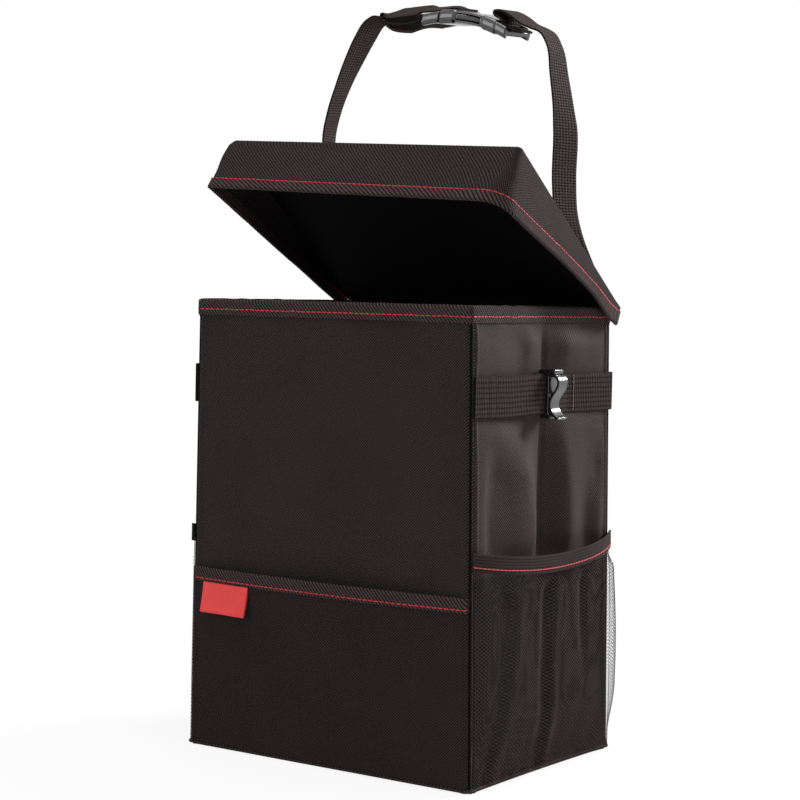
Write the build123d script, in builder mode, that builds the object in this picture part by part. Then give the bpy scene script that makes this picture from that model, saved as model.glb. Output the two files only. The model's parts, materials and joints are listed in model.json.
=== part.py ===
"""Car trash bin: a stiffened cloth box with a hinged lid, side pockets, bag clips and a hanging strap."""

import math
import os

from build123d import *

# Overall sizes in millimetres: X is the width, the front faces -Y and the floor is Z = 0
bin_width = 216.0
bin_depth = 168.0
bin_height = 292.0

# Sheet thicknesses and fits
cloth = 1.0
board = 2.0
liner_skin = 0.8
tape = 0.8
slack = 0.2

# Side panels, folded in along a crease at mid depth
fold_depth = 12.0
fold_at_floor = 1.0
fold_full_height = 120.0

# Rim tape and base piping
rim_tape_height = 10.5
piping_width = 1.2
piping_height = 2.4
piping_lift = 0.4

# Front pocket with its hem tape and tag
pocket_height = 117.0
pocket_bulge = 7.0
pocket_bulge_at_floor = 0.5
hem_height = 8.5
hem_tape = 0.6
tag_width = 40.0
tag_height = 19.0
tag_sheet = 0.8
tag_from_edge = 32.0
tag_flare = 5.0

# Side mesh pockets with their elastic
mesh_sheet = 1.0
mesh_top = 134.0
mesh_bulge = 7.0
mesh_bulge_at_floor = 1.2
mesh_belly_height = 30.0
pleat_depth = 3.2
pleat_half = 5.0
pleat_places = (-31.0, 11.0)
elastic_height = 11.0
elastic_sheet = 1.8
elastic_sag = 7.0

# Webbing: the strips sewn across the sides and the strap that hangs the bin
webbing = 25.0
webbing_sheet = 1.5
side_strap_drop = 55.0
side_strap_stitch = 33.0

# Bag clips, sprung mouldings that slide along the side strips
clip_width = 12.0
clip_middle = 7.0
clip_plate = 2.0
clip_flange = 2.6
clip_brow = 6.5
clip_sill = 4.0
clip_hook = 1.5
clip_hook_reach = 4.0
clip_fit = 0.3
clip_spring = 1.7
clip_bulge = 8.8
clip_pinch = 3.2
clip_flare = 9.6
clip_tail = 0.5
clip_bends = (3.0, 6.0, 5.0, 5.0)

# Lid, held open in the rest pose
lid_open = 33.0
lid_gap = 0.4
lid_clear = 1.0
lid_lining = 0.6
lid_return = 12.0
lid_corner = 2.5
lip_sheet = 1.6
lip_front = 39.0
lip_back = 10.0
lip_tail = 8.0
lip_flare = 4.0
lid_tape = 0.6
lid_tape_height = 8.5

# Hanging strap and its side-release buckle
strap_foot_x = 86.0
strap_foot_drop = 80.0
strap_foot_length = 54.0
strap_rear = 4.0
strap_tail = 2.0
strap_fold_back = 3.5
strap_fold_height = 4.6
strap_loop_length = 40.0
strap_loop_sag = 11.2
strap_bend = 8.0
buckle_x = -4.0
buckle_rise = 190.0
buckle_tilt = 11.3
buckle_width = 33.0
buckle_thick = 8.0
collar_step = 0.8
collar_length = 12.0
female_mouth = -26.0
female_back = 21.0
ladder_end = 40.0
bar = 3.4
bar_thick = 3.2
ladder_slot = 5.0
slot_half = 13.3
male_end = -40.0
male_shoulder = -27.0
buckle_wall = 1.6
buckle_fit = 0.4
window_front = -12.5
window_back = 6.5
prong = 3.2
guide = 5.0
buckle_round = 1.2

half_width = bin_width / 2
half_depth = bin_depth / 2
wall_top = bin_height - tape
side_run = half_depth - cloth
side_strap_middle = bin_height - side_strap_drop


# Plan outlines of the folded box
def fold_at(height):
    """How far the crease is pushed in at a height."""
    share = min(1.0, height / fold_full_height)
    return fold_at_floor + (fold_depth - fold_at_floor) * share


def side_line(inset, half_run, fold, side=1):
    """Front, crease and back points of a side face that lies inset from the outer cloth."""
    edge = half_width - inset - fold * max(0.0, 1 - half_run / side_run)
    crease = half_width - inset - fold
    return [(side * edge, -half_run), (side * crease, 0.0), (side * edge, half_run)]


def box_outline(inset, half_run, fold):
    """Closed six-sided outline, folded in at both sides."""
    return side_line(inset, half_run, fold) + side_line(inset, half_run, fold, -1)[::-1]


def wall_outline(fold):
    """Outer outline of the sewn walls: straight front and back cloth with folded sides between."""
    corners = [(half_width, -half_depth), (half_width, half_depth)]
    right = [corners[0]] + side_line(0, side_run, fold) + [corners[1]]
    return right + [(-x, y) for x, y in right[::-1]]


liner_inset = cloth + slack
liner_run = half_depth - cloth - board
liner_inner_inset = liner_inset + liner_skin
liner_inner_run = liner_run - liner_skin
liner_floor = cloth + board


# Cloth walls
def end_panel(plane):
    """Flat front or back cloth, drawn on a plane whose normal points out of the bin."""
    with BuildPart() as panel:
        with BuildSketch(plane.offset(side_run)):
            Rectangle(bin_width, wall_top, align=(Align.CENTER, Align.MIN))
        extrude(amount=cloth)
    return panel


def side_panel(side):
    """Soft side cloth, flat at the floor and creased inward above."""
    with BuildPart() as panel:
        for height in (0.0, fold_full_height, wall_top):
            outer = side_line(0, side_run, fold_at(height), side)
            inner = side_line(cloth, side_run, fold_at(height), side)
            with BuildSketch(Plane.XY.offset(height)):
                Polygon(*outer, *inner[::-1], align=None)
        loft(ruled=True)
    return panel


rear_plane = Plane(origin=(0, 0, 0), x_dir=(-1, 0, 0), z_dir=(0, 1, 0))
front_panel = end_panel(Plane.XZ)
back_panel = end_panel(rear_plane)
right_side_panel = side_panel(1)
left_side_panel = side_panel(-1)

base_half_width = half_width - cloth - fold_at(liner_floor) - slack
with BuildPart() as base_panel:
    with BuildSketch():
        Rectangle(2 * base_half_width, 2 * side_run)
    extrude(amount=cloth)

with BuildPart() as base_piping:
    with BuildSketch(Plane.XY.offset(piping_lift)):
        Rectangle(bin_width + 2 * piping_width, bin_depth + 2 * piping_width)
        Rectangle(bin_width, bin_depth, mode=Mode.SUBTRACT)
    extrude(amount=piping_height)
    outer_edges = base_piping.faces().sort_by(Axis.Y)[0].edges() | Axis.X
    outer_edges += base_piping.faces().sort_by(Axis.Y)[-1].edges() | Axis.X
    outer_edges += base_piping.faces().sort_by(Axis.X)[0].edges() | Axis.Y
    outer_edges += base_piping.faces().sort_by(Axis.X)[-1].edges() | Axis.Y
    chamfer(outer_edges, length=piping_width / 3)


# Stiffening boards and the waterproof liner
board_half_width = half_width - cloth - fold_depth * board / side_run - slack


def end_board(plane):
    """Board that keeps the front or back wall flat."""
    with BuildPart() as sheet:
        with BuildSketch(plane.offset(liner_run)):
            with Locations((0, cloth)):
                Rectangle(2 * board_half_width, wall_top - cloth, align=(Align.CENTER, Align.MIN))
        extrude(amount=board)
    return sheet


front_board = end_board(Plane.XZ)
back_board = end_board(rear_plane)

with BuildPart() as base_board:
    with BuildSketch(Plane.XY.offset(cloth)):
        Rectangle(2 * base_half_width, 2 * (liner_run - slack))
    extrude(amount=board)

with BuildPart() as liner:
    for height in (liner_floor, fold_full_height, wall_top):
        with BuildSketch(Plane.XY.offset(height)):
            Polygon(*box_outline(liner_inset, liner_run, fold_at(height)), align=None)
    loft(ruled=True)
    for height in (liner_floor + liner_skin, fold_full_height, wall_top):
        with BuildSketch(Plane.XY.offset(height)):
            Polygon(*box_outline(liner_inner_inset, liner_inner_run, fold_at(height)), align=None)
    loft(ruled=True, mode=Mode.SUBTRACT)

with BuildPart() as rim_binding:
    tape_floor = Plane.XY.offset(bin_height - rim_tape_height)
    with BuildSketch(tape_floor):
        Polygon(*box_outline(-tape, half_depth + tape, fold_depth), align=None)
        inner_tape = box_outline(liner_inner_inset + tape, liner_inner_run - tape, fold_depth)
        Polygon(*inner_tape, align=None, mode=Mode.SUBTRACT)
    extrude(amount=rim_tape_height)
    with BuildSketch(tape_floor):
        Polygon(*wall_outline(fold_depth), align=None)
        inner_wall = box_outline(liner_inner_inset, liner_inner_run, fold_depth)
        Polygon(*inner_wall, align=None, mode=Mode.SUBTRACT)
    extrude(amount=rim_tape_height - tape, mode=Mode.SUBTRACT)


# Front pocket, bowed out towards its open top
pocket_floor = piping_lift + piping_height


def pocket_bow(height):
    """How far the pocket's middle stands out at a height."""
    share = height / pocket_height
    return pocket_bulge_at_floor + (pocket_bulge - pocket_bulge_at_floor) * share


def bowed_sheet(low, high, near, far):
    """Sheet in front of the front wall that follows the pocket's bow, from near to far."""
    with BuildPart() as sheet:
        for height in (low, high):
            bow = pocket_bow(height)
            with BuildSketch(Plane.XY.offset(height)):
                with BuildLine():
                    inner = ThreePointArc(
                        (-half_width, -half_depth - near),
                        (0, -half_depth - near - bow),
                        (half_width, -half_depth - near),
                    )
                    outer = ThreePointArc(
                        (-half_width, -half_depth - far),
                        (0, -half_depth - far - bow),
                        (half_width, -half_depth - far),
                    )
                    Line(inner @ 0, outer @ 0)
                    Line(inner @ 1, outer @ 1)
                make_face()
        loft(ruled=True)
    return sheet


pocket_near = hem_tape
pocket_far = hem_tape + cloth
front_pocket = bowed_sheet(pocket_floor, pocket_height, pocket_near, pocket_far)

with BuildPart() as front_pocket_binding:
    hem = bowed_sheet(pocket_height - hem_height, pocket_height + hem_tape, 0, pocket_far + hem_tape)
    add(hem.part)
    add(front_pocket.part, mode=Mode.SUBTRACT)

with BuildPart() as red_tag:
    tag_middle = tag_from_edge - half_width
    tag_top = pocket_height - hem_height - slack
    bow_there = pocket_bow(tag_top) * (1 - (tag_middle / half_width) ** 2)
    slope = math.degrees(math.atan(2 * pocket_bow(tag_top) * tag_middle / half_width**2))
    for drop, lift in ((0.0, 0.0), (tag_height / 2, tag_flare / 3), (tag_height, tag_flare)):
        sheet_y = -half_depth - pocket_far - slack - bow_there - lift - tag_sheet / 2
        with BuildSketch(Plane.XY.offset(tag_top - drop)):
            with Locations(Location((tag_middle, sheet_y), slope)):
                Rectangle(tag_width, tag_sheet)
    loft(ruled=True)


# Side pockets of mesh, gathered under an elastic
def swollen_outline(sheet, swell, side, pleats):
    """Closed plan outline of a sheet that swells out from the side seam, with pleats pinched into it."""
    shoulder = side_run - 3 * pleat_half
    crest = side_run / 2
    line = [(0.0, -side_run), (0.8, -shoulder), (1.0, -crest)]
    for place in pleats:
        line += [(1.0, place - pleat_half), (1 - pleat_depth / mesh_bulge, place), (1.0, place + pleat_half)]
    line += [(1.0, crest), (0.8, shoulder), (0.0, side_run)]
    seat = half_width + slack
    inner = [(side * (seat + swell * share), y) for share, y in line]
    outer = [(side * (seat + swell * share + sheet), y) for share, y in line]
    return inner + outer[::-1]


def sag_strip(low, high):
    """Strip between two sagging lines, drawn looking along X."""
    with BuildPart() as strip:
        with BuildSketch(Plane.YZ):
            with BuildLine():
                lower = ThreePointArc((-half_depth, low), (0, low - elastic_sag), (half_depth, low))
                upper = ThreePointArc((-half_depth, high), (0, high - elastic_sag), (half_depth, high))
                Line(lower @ 0, upper @ 0)
                Line(lower @ 1, upper @ 1)
            make_face()
        extrude(amount=2 * bin_width, both=True)
    return strip.part


def mesh_pocket(side):
    """Mesh wall that bellies out above the base seam."""
    levels = (
        (pocket_floor, mesh_bulge_at_floor),
        (mesh_belly_height, mesh_bulge),
        (mesh_top + elastic_height, mesh_bulge),
    )
    with BuildPart() as pocket:
        for height, swell in levels:
            with BuildSketch(Plane.XY.offset(height)):
                Polygon(*swollen_outline(mesh_sheet, swell, side, pleat_places), align=None)
        loft(ruled=True)
        add(sag_strip(mesh_top - slack, mesh_top + 3 * elastic_height), mode=Mode.SUBTRACT)
    return pocket


def pocket_elastic(side):
    """Elastic band along the top of a mesh pocket."""
    with BuildPart() as band:
        with BuildSketch(Plane.XY.offset(mesh_top - 2 * elastic_sag)):
            Polygon(*swollen_outline(elastic_sheet, mesh_bulge, side, ()), align=None)
        extrude(amount=elastic_height + 3 * elastic_sag)
        add(sag_strip(mesh_top, mesh_top + elastic_height), mode=Mode.INTERSECT)
    return band


right_mesh_pocket = mesh_pocket(1)
left_mesh_pocket = mesh_pocket(-1)
right_pocket_elastic = pocket_elastic(1)
left_pocket_elastic = pocket_elastic(-1)

# Webbing strips across the sides: free in front of the stitch line, sewn down behind it
strip_seat = slack / 4
stitch_x = half_width - fold_depth * (1 - side_strap_stitch / side_run) + strip_seat
seam_x = half_width + strip_seat


def side_strap(side):
    """Flat webbing from the front seam to the stitch line and on to the back seam."""
    inner = [(seam_x, -side_run), (stitch_x, side_strap_stitch), (seam_x, side_run)]
    outer = [(x + webbing_sheet, y) for x, y in inner]
    with BuildPart() as strap:
        with BuildSketch(Plane.XY.offset(side_strap_middle - webbing / 2)):
            Polygon(*[(side * x, y) for x, y in inner + outer[::-1]], align=None)
        extrude(amount=webbing)
    return strap


right_side_strap = side_strap(1)
left_side_strap = side_strap(-1)

# Bag clips
strip_lean = (seam_x - stitch_x) / (side_strap_stitch + side_run)
clip_x = seam_x - strip_lean * (clip_middle + side_run) + webbing_sheet


def bag_clip(side):
    """Moulded plate that grips the webbing's edges, with an S-shaped spring on its face."""
    along = Vector(-side * strip_lean, 1, 0).normalized()
    outward = Vector(side, strip_lean, 0).normalized()
    face = Plane(origin=(side * clip_x, clip_middle, side_strap_middle), x_dir=outward, z_dir=along * -side)
    grip = webbing / 2 + clip_fit
    reach = grip + clip_flange
    behind = webbing_sheet + clip_fit
    with BuildPart() as clip:
        with BuildSketch(face):
            with Locations((clip_fit + clip_plate / 2, 0)):
                Rectangle(clip_plate, 2 * reach)
            for end, ledge in ((1, clip_brow), (-1, clip_sill)):
                with Locations((ledge, end * (grip + clip_flange / 2))):
                    Rectangle(ledge + behind + clip_hook, clip_flange, align=(Align.MAX, Align.CENTER))
                with Locations((-behind - clip_hook / 2, end * (grip - clip_hook_reach / 2))):
                    Rectangle(clip_hook, clip_hook_reach)
        extrude(amount=clip_width / 2, both=True)
        crown = reach - clip_spring / 2
        with BuildSketch(face):
            with BuildLine():
                FilletPolyline(
                    (clip_fit + clip_plate / 2, crown),
                    (clip_bulge, crown),
                    (clip_bulge + clip_fit, grip / 2),
                    (clip_pinch, -grip / 4),
                    (clip_pinch, -0.6 * reach),
                    (clip_flare, -reach - clip_tail),
                    radius=clip_bends,
                )
            trace(line_width=clip_spring)
        extrude(amount=clip_width / 2, both=True)
    return clip


right_bag_clip = bag_clip(1)
left_bag_clip = bag_clip(-1)

# Lid: its own frame has the hinge line at the origin, Y back along the lid and Z out of its top
lid_roll = board / 2 + cloth
hinge = Vector(0, half_depth + tape - lid_roll, bin_height + lid_roll + lid_gap)
open_angle = math.radians(lid_open)
lid_back = Vector(0, math.cos(open_angle), -math.sin(open_angle))
lid_up = Vector(0, math.sin(open_angle), math.cos(open_angle))
lid_plane = Plane(origin=hinge, x_dir=(1, 0, 0), z_dir=lid_up)
lid_section = Plane(origin=hinge, x_dir=lid_back, z_dir=(1, 0, 0))
lip_half = half_width + tape + lid_clear
lip_reach = hinge.Y + half_depth + tape + lid_clear
past_hinge = 2 * rim_tape_height
lip_drop = lip_front + lid_tape_height
lid_crown = board / 2 + cloth


def lid_tray(grow):
    """Flared tray that the lips are cut from, grown outward from the lips' inner face."""
    with BuildPart() as tray:
        for drop, flare in ((0.0, 0.0), (lip_drop, lip_flare * lip_drop / lip_front)):
            half = lip_half + grow + flare
            reach = lip_reach + grow + flare
            with BuildSketch(lid_plane.offset(board / 2 - drop)):
                with Locations((0, (past_hinge - reach) / 2)):
                    RectangleRounded(2 * half, reach + past_hinge, lid_corner + grow)
        loft(ruled=True)
    return tray.part


def lip_band(above, below):
    """Side view of the tapered lips, cut between two lines parallel to their lower edge."""
    far = lip_reach + lip_sheet + lip_flare
    rise = (lip_front - lip_back) / far
    front_y = -far - past_hinge
    front_low = lid_crown - lip_front - rise * past_hinge
    tail_low = lid_crown - lip_back + rise * lip_tail
    return [
        (front_y, front_low - below),
        (lip_tail, tail_low - below),
        (lip_tail, tail_low + above),
        (front_y, front_low + above),
    ]


with BuildPart() as lid_skirt:
    add(lid_tray(lip_sheet))
    add(lid_tray(0), mode=Mode.SUBTRACT)
    with BuildSketch(lid_section):
        Polygon(*lip_band(2 * lip_front, 0), align=None)
    extrude(amount=2 * bin_width, both=True, mode=Mode.INTERSECT)

with BuildPart() as lid_binding:
    add(lid_tray(lip_sheet + lid_tape))
    add(lid_tray(-lid_tape), mode=Mode.SUBTRACT)
    with BuildSketch(lid_section):
        Polygon(*lip_band(lid_tape_height, lid_tape), align=None)
    extrude(amount=2 * bin_width, both=True, mode=Mode.INTERSECT)
    add(lid_skirt.part, mode=Mode.SUBTRACT)


def lid_sheet(low, high, inset, back):
    """Flat sheet of the lid inside the lips, square at its back edge."""
    half = lip_half - inset
    reach = lip_reach - inset
    with BuildPart() as sheet:
        with BuildSketch(lid_plane.offset(low)):
            with Locations((0, (past_hinge - reach) / 2)):
                RectangleRounded(2 * half, reach + past_hinge, lid_corner)
            with Locations((0, back)):
                Rectangle(2 * bin_width, 2 * past_hinge, align=(Align.CENTER, Align.MIN), mode=Mode.SUBTRACT)
        extrude(amount=high - low)
    return sheet


sheet_inset = lid_tape + slack
stiffener = lid_sheet(-board / 2, board / 2, sheet_inset, 0)
lining = lid_sheet(-board / 2 - lid_lining, -board / 2, sheet_inset, -lid_return - slack)

with BuildPart() as lid_cover:
    cover_reach = lip_reach + lip_sheet
    with BuildSketch(lid_section):
        with Locations((0, board / 2)):
            Rectangle(cover_reach, cloth, align=(Align.MAX, Align.MIN))
    extrude(amount=lip_half + lip_sheet, both=True)
    with BuildSketch(lid_plane.offset(-past_hinge)):
        with Locations((0, (past_hinge - cover_reach) / 2)):
            RectangleRounded(2 * (lip_half + lip_sheet), cover_reach + past_hinge, lid_corner + lip_sheet)
    extrude(amount=2 * past_hinge, mode=Mode.INTERSECT)
    with BuildSketch(lid_section):
        Circle(lid_roll)
        Circle(board / 2, mode=Mode.SUBTRACT)
        with Locations((-lid_roll, 0)):
            Rectangle(2 * lid_roll, 3 * lid_roll, mode=Mode.SUBTRACT)
        with Locations((0, -board / 2)):
            Rectangle(lid_return, cloth, align=(Align.MAX, Align.MAX))
    extrude(amount=lip_half - sheet_inset, both=True)

# Hanging strap: each half is sewn to the back wall, turns on its way up and loops through the buckle
strap_y = half_depth + strap_rear
buckle_centre = Vector(buckle_x, strap_y, bin_height + buckle_rise)
tilt = math.radians(buckle_tilt)
buckle_along = Vector(math.cos(tilt), 0, -math.sin(tilt))
buckle_up = Vector(math.sin(tilt), 0, math.cos(tilt))
buckle_flat = Plane(origin=buckle_centre, x_dir=buckle_along, z_dir=buckle_up)
buckle_section = Plane(origin=buckle_centre, x_dir=buckle_along, z_dir=(0, -1, 0))
foot_y = half_depth + webbing_sheet / 2 + slack / 4
over_tape_y = foot_y + tape + slack


def buckle_point(along, up):
    """World point in the buckle's middle plane."""
    return buckle_centre + buckle_along * along + buckle_up * up


def webbing_run(stations):
    """Flat webbing through stations of centre and turn, the turn in degrees from flat on the back wall."""
    centres = [Vector(*centre) for centre, turn in stations]
    with BuildPart() as run:
        for place, (centre, turn) in enumerate(stations):
            before = centres[max(place - 1, 0)]
            after = centres[min(place + 1, len(centres) - 1)]
            heading = (after - before).normalized()
            across = Vector(math.cos(math.radians(turn)), math.sin(math.radians(turn)), 0)
            across = (across - heading * across.dot(heading)).normalized()
            with BuildSketch(Plane(origin=centres[place], x_dir=across, z_dir=heading)):
                Rectangle(webbing, webbing_sheet)
        loft(ruled=True)
    return run.part


def sewn_foot(side):
    """Stations where a strap half lies on the back wall and leaves it over the rim tape."""
    foot_x = side * strap_foot_x
    foot_low = bin_height - strap_foot_drop
    return [
        ((foot_x, foot_y, foot_low), 0),
        ((foot_x, foot_y, foot_low + strap_foot_length), 0),
        ((foot_x, over_tape_y, bin_height - rim_tape_height), 0),
    ]


def free_stations(side, route):
    """Stations of a strap half above the rim: outward and upward from the foot and the rim, with the turn."""
    return [
        ((side * (strap_foot_x + outward), strap_y, bin_height + upward), turn)
        for outward, upward, turn in route
    ]


webbing_fold = webbing_sheet + slack
ply = bar_thick / 2 + clip_fit + webbing_sheet / 2
collar_ply = buckle_thick / 2 + collar_step + clip_fit + webbing_sheet / 2


def buckle_arrival(entry, onward):
    """Stations where a strap half reaches its folds in the buckle, heading for the next point there."""
    lead = (entry - onward).normalized()
    return [(buckle_point(place.X, place.Y), 90) for place in (entry + lead, entry)]


# The right half folds over the rear collar, goes down through the ladder and comes up to its cut end
right_route = (
    (-3, 8, 2),
    (-8, 16, 25),
    (-16, 37, 60),
    (-21, 60, 79),
    (-23, 84, 80),
    (-23, 117, 80),
    (-25, 132, 86),
    (-29, 154, 91),
    (-33, 173, 95),
    (-39, 182, 94),
)
inner_slot = ladder_end - 2 * bar - 1.5 * ladder_slot
outer_slot = ladder_end - bar - ladder_slot / 2
tail_ply = ply + slack
right_entry = Vector(ladder_end + 2 * strap_tail, tail_ply + 1.5 * webbing_sheet)
right_fold = Vector(female_back - strap_fold_back, collar_ply + strap_fold_height)
with BuildPart() as right_hanging_strap:
    with BuildSketch(buckle_section):
        with BuildLine():
            FilletPolyline(
                (right_entry.X, right_entry.Y),
                (right_fold.X, right_fold.Y),
                (right_fold.X, collar_ply),
                (inner_slot, collar_ply),
                (inner_slot, -ply),
                (outer_slot, -ply),
                (outer_slot, tail_ply),
                (ladder_end + strap_tail, tail_ply),
                radius=webbing_fold,
            )
        trace(line_width=webbing_sheet)
    extrude(amount=webbing / 2, both=True)
    add(webbing_run(sewn_foot(1) + free_stations(1, right_route) + buckle_arrival(right_entry, right_fold)))

# The left half turns up round the plug half's bar, doubles back and lies over the buckle to its cut end
left_route = (
    (3, 8, 2),
    (7, 16, 25),
    (20, 43, 70),
    (35, 70, 100),
    (47, 94, 104),
    (52, 113, 104),
    (47, 135, 103),
    (40, 153, 101),
    (29, 171, 94),
    (21, 181, 90),
    (12.5, 191, 90),
)
left_turn = male_end + bar + clip_fit + webbing_sheet / 2
left_entry = Vector(male_end - strap_loop_length, -strap_loop_sag)
lower_bend = Vector(male_end - strap_loop_length / 4, -0.79 * strap_loop_sag)
double_back = left_entry.X - strap_tail
with BuildPart() as left_hanging_strap:
    with BuildSketch(buckle_section):
        with BuildLine():
            FilletPolyline(
                (left_entry.X, left_entry.Y),
                (lower_bend.X, lower_bend.Y),
                (left_turn, -ply),
                (left_turn, ply),
                (male_end - strap_tail, ply),
                (male_end - strap_loop_length / 2, -0.41 * strap_loop_sag),
                (double_back, -0.8 * strap_loop_sag),
                (double_back, -0.53 * strap_loop_sag),
                (male_end - 0.62 * strap_loop_length, 0),
                (male_end, collar_ply),
                (male_shoulder, collar_ply + webbing_sheet / 2),
                (window_front - strap_tail, collar_ply),
                radius=(
                    strap_bend,
                    webbing_fold,
                    webbing_fold,
                    webbing_fold,
                    strap_bend,
                    webbing_sheet,
                    webbing_sheet,
                    strap_bend,
                    strap_bend,
                    strap_bend,
                ),
            )
        trace(line_width=webbing_sheet)
    extrude(amount=webbing / 2, both=True)
    add(webbing_run(sewn_foot(-1) + free_stations(-1, left_route) + buckle_arrival(left_entry, lower_bend)))

# Buckle, socket half: a flat sleeve with side windows, collars and a webbing ladder
rail = buckle_width / 2 - slot_half


def side_rails(start, end):
    """Thick rails that carry both ends of the webbing bars."""
    with BuildPart() as rails:
        with BuildSketch(buckle_flat):
            for side in (1, -1):
                with Locations(((start + end) / 2, side * (slot_half + rail / 2))):
                    Rectangle(end - start, rail)
        extrude(amount=buckle_thick / 2, both=True)
    return rails.part


with BuildPart() as buckle_female:
    with BuildSketch(buckle_flat):
        with Locations(((female_mouth + female_back) / 2, 0)):
            Rectangle(female_back - female_mouth, buckle_width)
    extrude(amount=buckle_thick / 2, both=True)
    with BuildSketch(buckle_flat):
        for middle in (female_mouth + collar_length / 2, female_back - collar_length / 2):
            with Locations((middle, 0)):
                RectangleRounded(collar_length, buckle_width + 2 * collar_step, buckle_round)
    extrude(amount=buckle_thick / 2 + collar_step, both=True)
    with BuildSketch(buckle_flat):
        with Locations((female_back, 0)):
            Rectangle(ladder_end - female_back, buckle_width, align=(Align.MIN, Align.CENTER))
        for end in (1, 2):
            with Locations((ladder_end - end * (bar + ladder_slot), 0)):
                Rectangle(ladder_slot, 2 * slot_half, align=(Align.MIN, Align.CENTER), mode=Mode.SUBTRACT)
    extrude(amount=bar_thick / 2, both=True)
    add(side_rails(female_back, ladder_end))
    cavity_width = buckle_width - 2 * buckle_wall
    cavity_thick = buckle_thick - 2 * buckle_wall
    with BuildSketch(buckle_flat):
        with Locations((female_mouth, 0)):
            cavity_length = window_back + buckle_fit - female_mouth
            Rectangle(cavity_length, cavity_width, align=(Align.MIN, Align.CENTER))
        with Locations(((window_front + window_back) / 2, 0)):
            Rectangle(window_back - window_front + 2 * buckle_fit, 2 * buckle_width)
    extrude(amount=cavity_thick / 2, both=True, mode=Mode.SUBTRACT)

# Buckle, plug half: a webbing bar, a stop shoulder, a centre guide and two sprung prongs with barbs
with BuildPart() as buckle_male:
    plug_thick = cavity_thick - 2 * buckle_fit
    with BuildSketch(buckle_flat):
        with Locations((male_end, 0)):
            Rectangle(male_shoulder - male_end, buckle_width, align=(Align.MIN, Align.CENTER))
        with Locations((male_end + bar, 0)):
            Rectangle(ladder_slot + 1, 2 * slot_half, align=(Align.MIN, Align.CENTER), mode=Mode.SUBTRACT)
    extrude(amount=bar_thick / 2, both=True)
    add(side_rails(male_end, male_shoulder))
    with BuildSketch(buckle_flat):
        with Locations((male_shoulder, 0)):
            Rectangle(bar, buckle_width, align=(Align.MAX, Align.CENTER))
    extrude(amount=buckle_thick / 2, both=True)
    prong_outer = cavity_width / 2 - buckle_fit
    barb_outer = buckle_width / 2 + collar_step
    with BuildSketch(buckle_flat):
        with Locations((male_shoulder, 0)):
            Rectangle(window_front - male_shoulder, guide, align=(Align.MIN, Align.CENTER))
        for side in (1, -1):
            with BuildLine():
                Polyline(
                    (male_shoulder, side * prong_outer),
                    (window_front, side * prong_outer),
                    (window_front, side * barb_outer),
                    (window_back - prong, side * (prong_outer - prong / 4)),
                    (window_back, side * (prong_outer - prong)),
                    (window_front, side * (prong_outer - prong)),
                    (male_shoulder, side * (prong_outer - prong)),
                    close=True,
                )
            make_face()
    extrude(amount=plug_thick / 2, both=True)

pieces = {
    "front_panel": front_panel,
    "back_panel": back_panel,
    "left_side_panel": left_side_panel,
    "right_side_panel": right_side_panel,
    "base_panel": base_panel,
    "base_piping": base_piping,
    "front_board": front_board,
    "back_board": back_board,
    "base_board": base_board,
    "liner": liner,
    "rim_binding": rim_binding,
    "front_pocket": front_pocket,
    "front_pocket_binding": front_pocket_binding,
    "red_tag": red_tag,
    "left_mesh_pocket": left_mesh_pocket,
    "right_mesh_pocket": right_mesh_pocket,
    "left_pocket_elastic": left_pocket_elastic,
    "right_pocket_elastic": right_pocket_elastic,
    "left_side_strap": left_side_strap,
    "right_side_strap": right_side_strap,
    "left_bag_clip": left_bag_clip,
    "right_bag_clip": right_bag_clip,
    "lid_cover": lid_cover,
    "lid_board": stiffener,
    "lid_lining": lining,
    "lid_skirt": lid_skirt,
    "lid_binding": lid_binding,
    "left_hanging_strap": left_hanging_strap,
    "right_hanging_strap": right_hanging_strap,
    "buckle_female": buckle_female,
    "buckle_male": buckle_male,
}

os.makedirs("parts", exist_ok=True)
for name, piece in pieces.items():
    piece.part.label = name
    export_step(piece.part, f"parts/{name}.step")
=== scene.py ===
"""Car trash bin dressed as sewn goods: cloth walls, taped edges, net pockets, webbing, lid and fittings."""

import json
import math
from bisect import bisect_right

import bpy
from mathutils import Matrix, Vector, noise


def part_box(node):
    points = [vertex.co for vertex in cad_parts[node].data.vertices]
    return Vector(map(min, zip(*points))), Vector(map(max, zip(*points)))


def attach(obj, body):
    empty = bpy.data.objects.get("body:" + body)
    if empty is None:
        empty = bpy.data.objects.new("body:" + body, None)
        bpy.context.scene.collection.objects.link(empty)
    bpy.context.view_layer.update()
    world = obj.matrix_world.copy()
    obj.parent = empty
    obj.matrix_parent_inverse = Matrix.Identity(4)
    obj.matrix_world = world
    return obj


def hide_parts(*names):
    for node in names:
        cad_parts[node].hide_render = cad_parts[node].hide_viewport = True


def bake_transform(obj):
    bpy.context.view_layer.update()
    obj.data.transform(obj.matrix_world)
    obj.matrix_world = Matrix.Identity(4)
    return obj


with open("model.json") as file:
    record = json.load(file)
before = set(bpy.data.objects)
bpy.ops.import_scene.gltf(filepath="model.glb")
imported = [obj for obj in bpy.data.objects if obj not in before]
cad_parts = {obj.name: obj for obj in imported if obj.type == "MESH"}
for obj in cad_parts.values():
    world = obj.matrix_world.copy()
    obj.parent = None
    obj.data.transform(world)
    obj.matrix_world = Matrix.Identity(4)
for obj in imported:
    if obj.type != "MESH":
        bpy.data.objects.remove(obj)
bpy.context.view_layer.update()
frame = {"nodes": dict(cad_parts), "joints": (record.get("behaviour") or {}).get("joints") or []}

# Sizes in millimetres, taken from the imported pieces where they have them
mm = 0.001


def span(node):
    """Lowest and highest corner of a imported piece, in millimetres."""
    low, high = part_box(node)
    return low / mm, high / mm


def heights(node):
    """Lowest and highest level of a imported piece."""
    low, high = span(node)
    return low.z, high.z


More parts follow.
